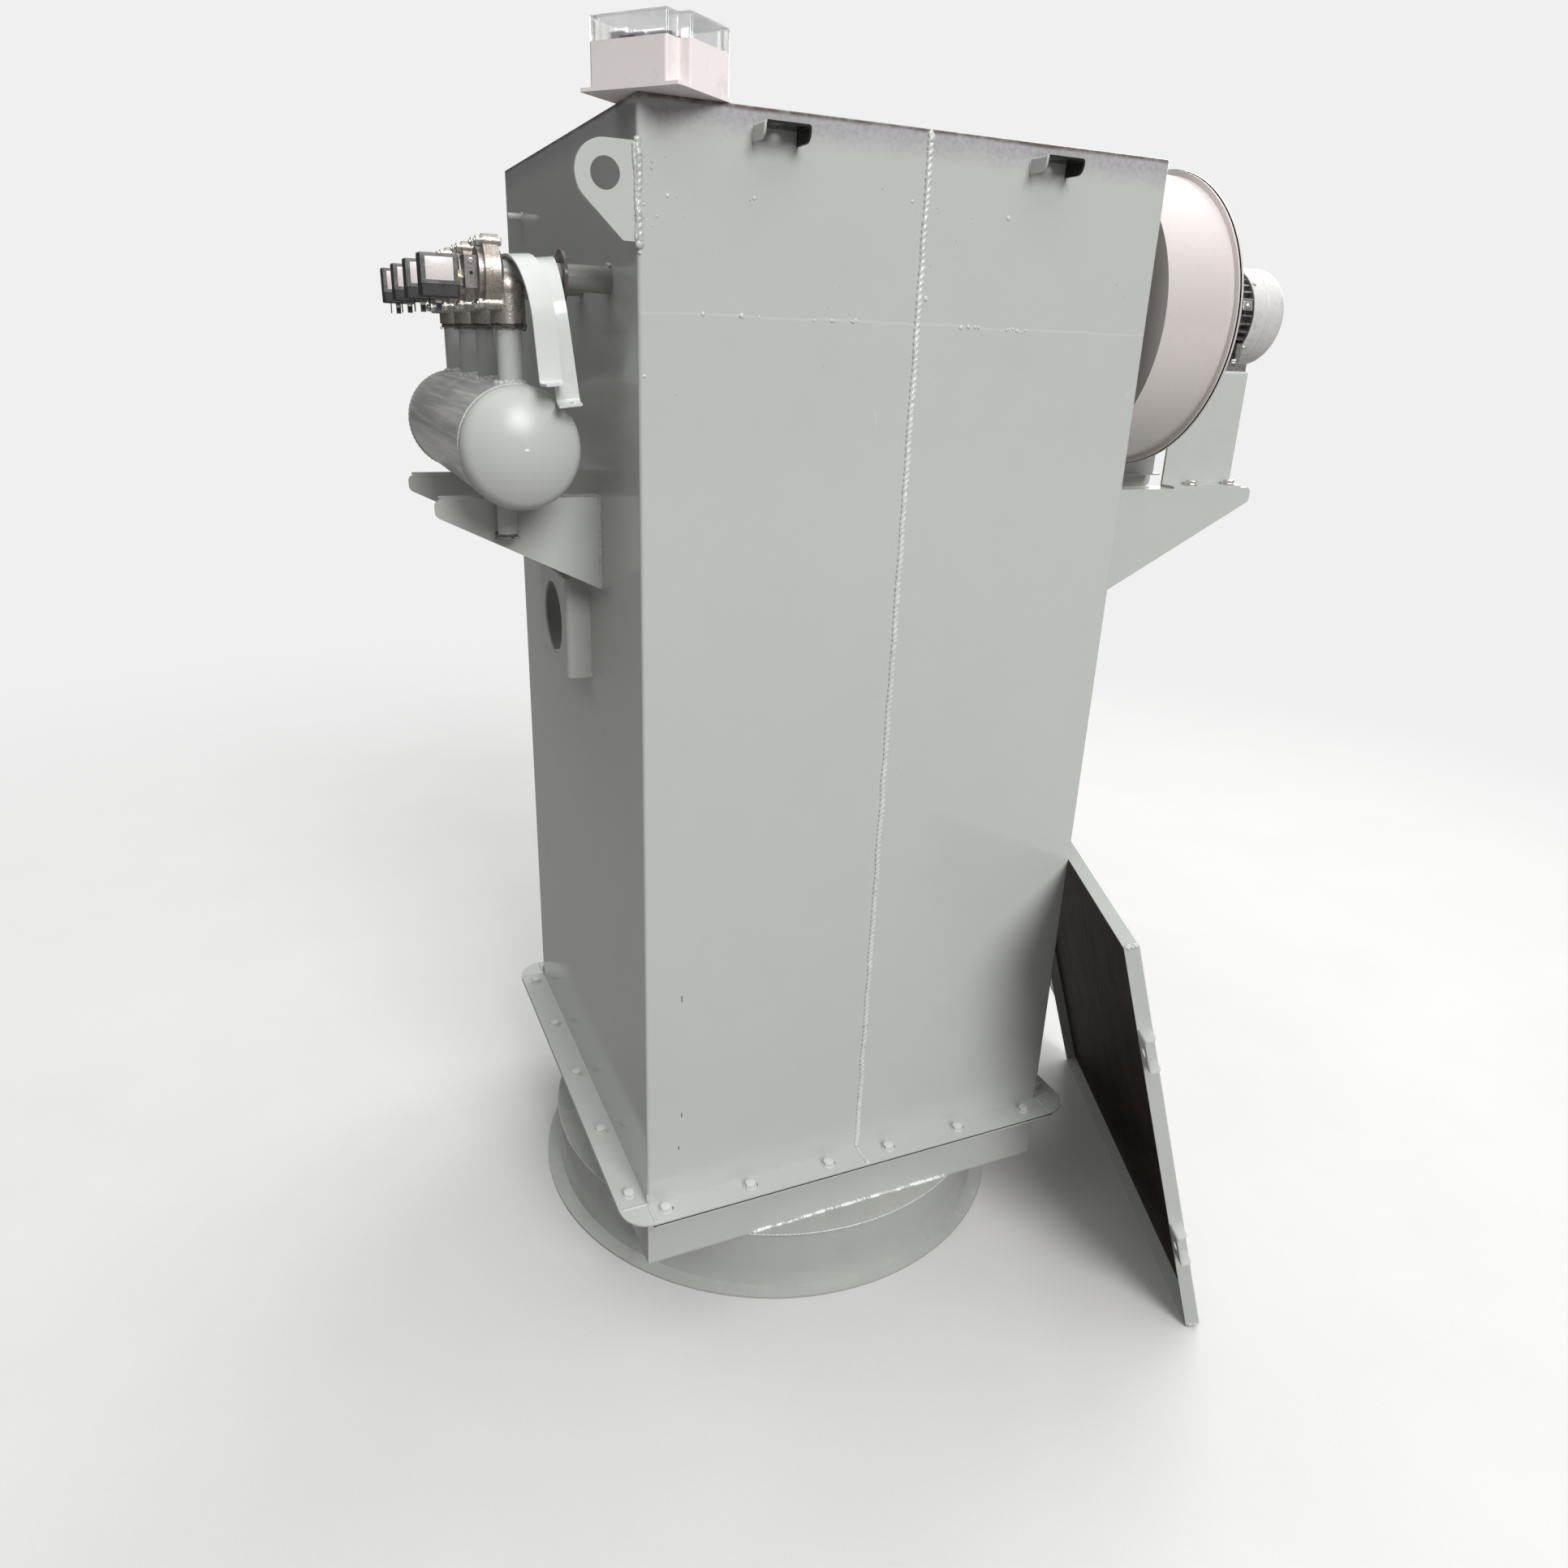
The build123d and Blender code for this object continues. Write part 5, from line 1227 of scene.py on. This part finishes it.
def putMotor(look):
    y, z = look["axis"]
    path, out = circle((look["ridgeX"], y, z), (1, 0, 0), look["cowlRadius"], 120)
    # along x out points with the way round, so the ridge is path + along w cos a + out h sin a
    along = np.array([(1.0, 0, 0)])
    ridge = tubeAlong(path, along, out, *look["ridge"], anglesOf(6), looped=True)
    putPiece("cowl_ridge", [ridge], "motorSilver")

    def screw(x, radius, way):
        # a pan head at this radius from the motor's axis
        return turned([(x, y, z) + radius * way], way, look["pan"], 18)

    *ways, tabWay = wheel(np.radians((*look["screwTurns"], look["tabTurn"])), (0, 1, 0), (0, 0, 1))
    screws = [screw(look["screwX"], look["cowlRadius"], way) for way in ways]
    matrix = np.stack([along[0], np.cross(tabWay, along[0]), tabWay], 1)
    screws.append(turnPatch(softBlock(*look["tab"]), matrix, (0, y, z) + tabWay * look["tabRadius"]))
    screws.append(screw(*look["tabScrew"], tabWay))
    putPiece("motor_screws", screws, "brightNut", 35)


putMotor(motorLook)
print("motor is finished")

# floor: pale and plain; near the object it takes light and shadow, far off it melts into the pale ground
floorLook = {"radii": (0.6, 1.5, 3.0, 7.0, 14.0, 26.0), "around": 96, "fade": (1.2, 5.0),
             "shown": (0.63, 0.622, 0.61), "bounced": (0.24, 0.236, 0.228), "far": 0.87}


def floorMaterial(look):
    # colour x cloud x grain; what the camera sees melts into an even glow between the fade's two distances
    material = bpy.data.materials.new("paleFloor")
    material.use_nodes = True
    tree = material.node_tree
    tree.nodes.clear()
    place, seen = addNode(tree, "TexCoord").outputs["Object"], seenRay(tree)
    cloud = stretch(noise(place, 1.7, 5.0, 0.6), 0.3, 0.7, 0.965, 1.0)
    grain = stretch(noise(place, 160.0, 2.0, 0.6), 0.3, 0.7, 0.985, 1.0)
    colour = blend(seen, look["bounced"], look["shown"])
    toned = addNode(tree, "HueSaturation", None, Value=times(cloud, grain), Color=colour)
    matte = addNode(tree, "BsdfDiffuse", None, Color=toned.outputs[0])
    glow = addNode(tree, "Emission", None, Color=(1, 1, 1), Strength=look["far"])
    away = addNode(tree, "VectorMath", {"operation": "LENGTH"}, in0=place).outputs["Value"]
    fade = times(seen, stretch(away, *look["fade"]))
    mix = addNode(tree, "MixShader", None, in0=fade, in1=matte.outputs[0], in2=glow.outputs[0])
    addNode(tree, "OutputMaterial", None, Surface=mix.outputs[0])
    return material


def makeFloor(look):
    # rings of points at each radius, joined by quads, with one polygon in the middle
    angle, radii = anglesOf(look["around"]), np.array(look["radii"])
    flat = radii[:, None, None] * np.stack([np.cos(angle), np.sin(angle), 0 * angle], -1)[None]
    grid = np.arange(flat[..., 0].size).reshape(flat.shape[:2])
    inner, outer = grid[:-1], grid[1:]
    quads = np.stack([inner, outer, np.roll(outer, -1, 1), np.roll(inner, -1, 1)], -1).reshape(-1, 4)
    mesh = bpy.data.meshes.new("floor")
    mesh.from_pydata(flat.reshape(-1, 3).tolist(), [], quads.tolist() + [grid[0].tolist()])
    floor = bpy.data.objects.new("floor", mesh)
    scene.collection.objects.link(floor)
    mesh.materials.append(floorMaterial(look))


makeFloor(floorLook)
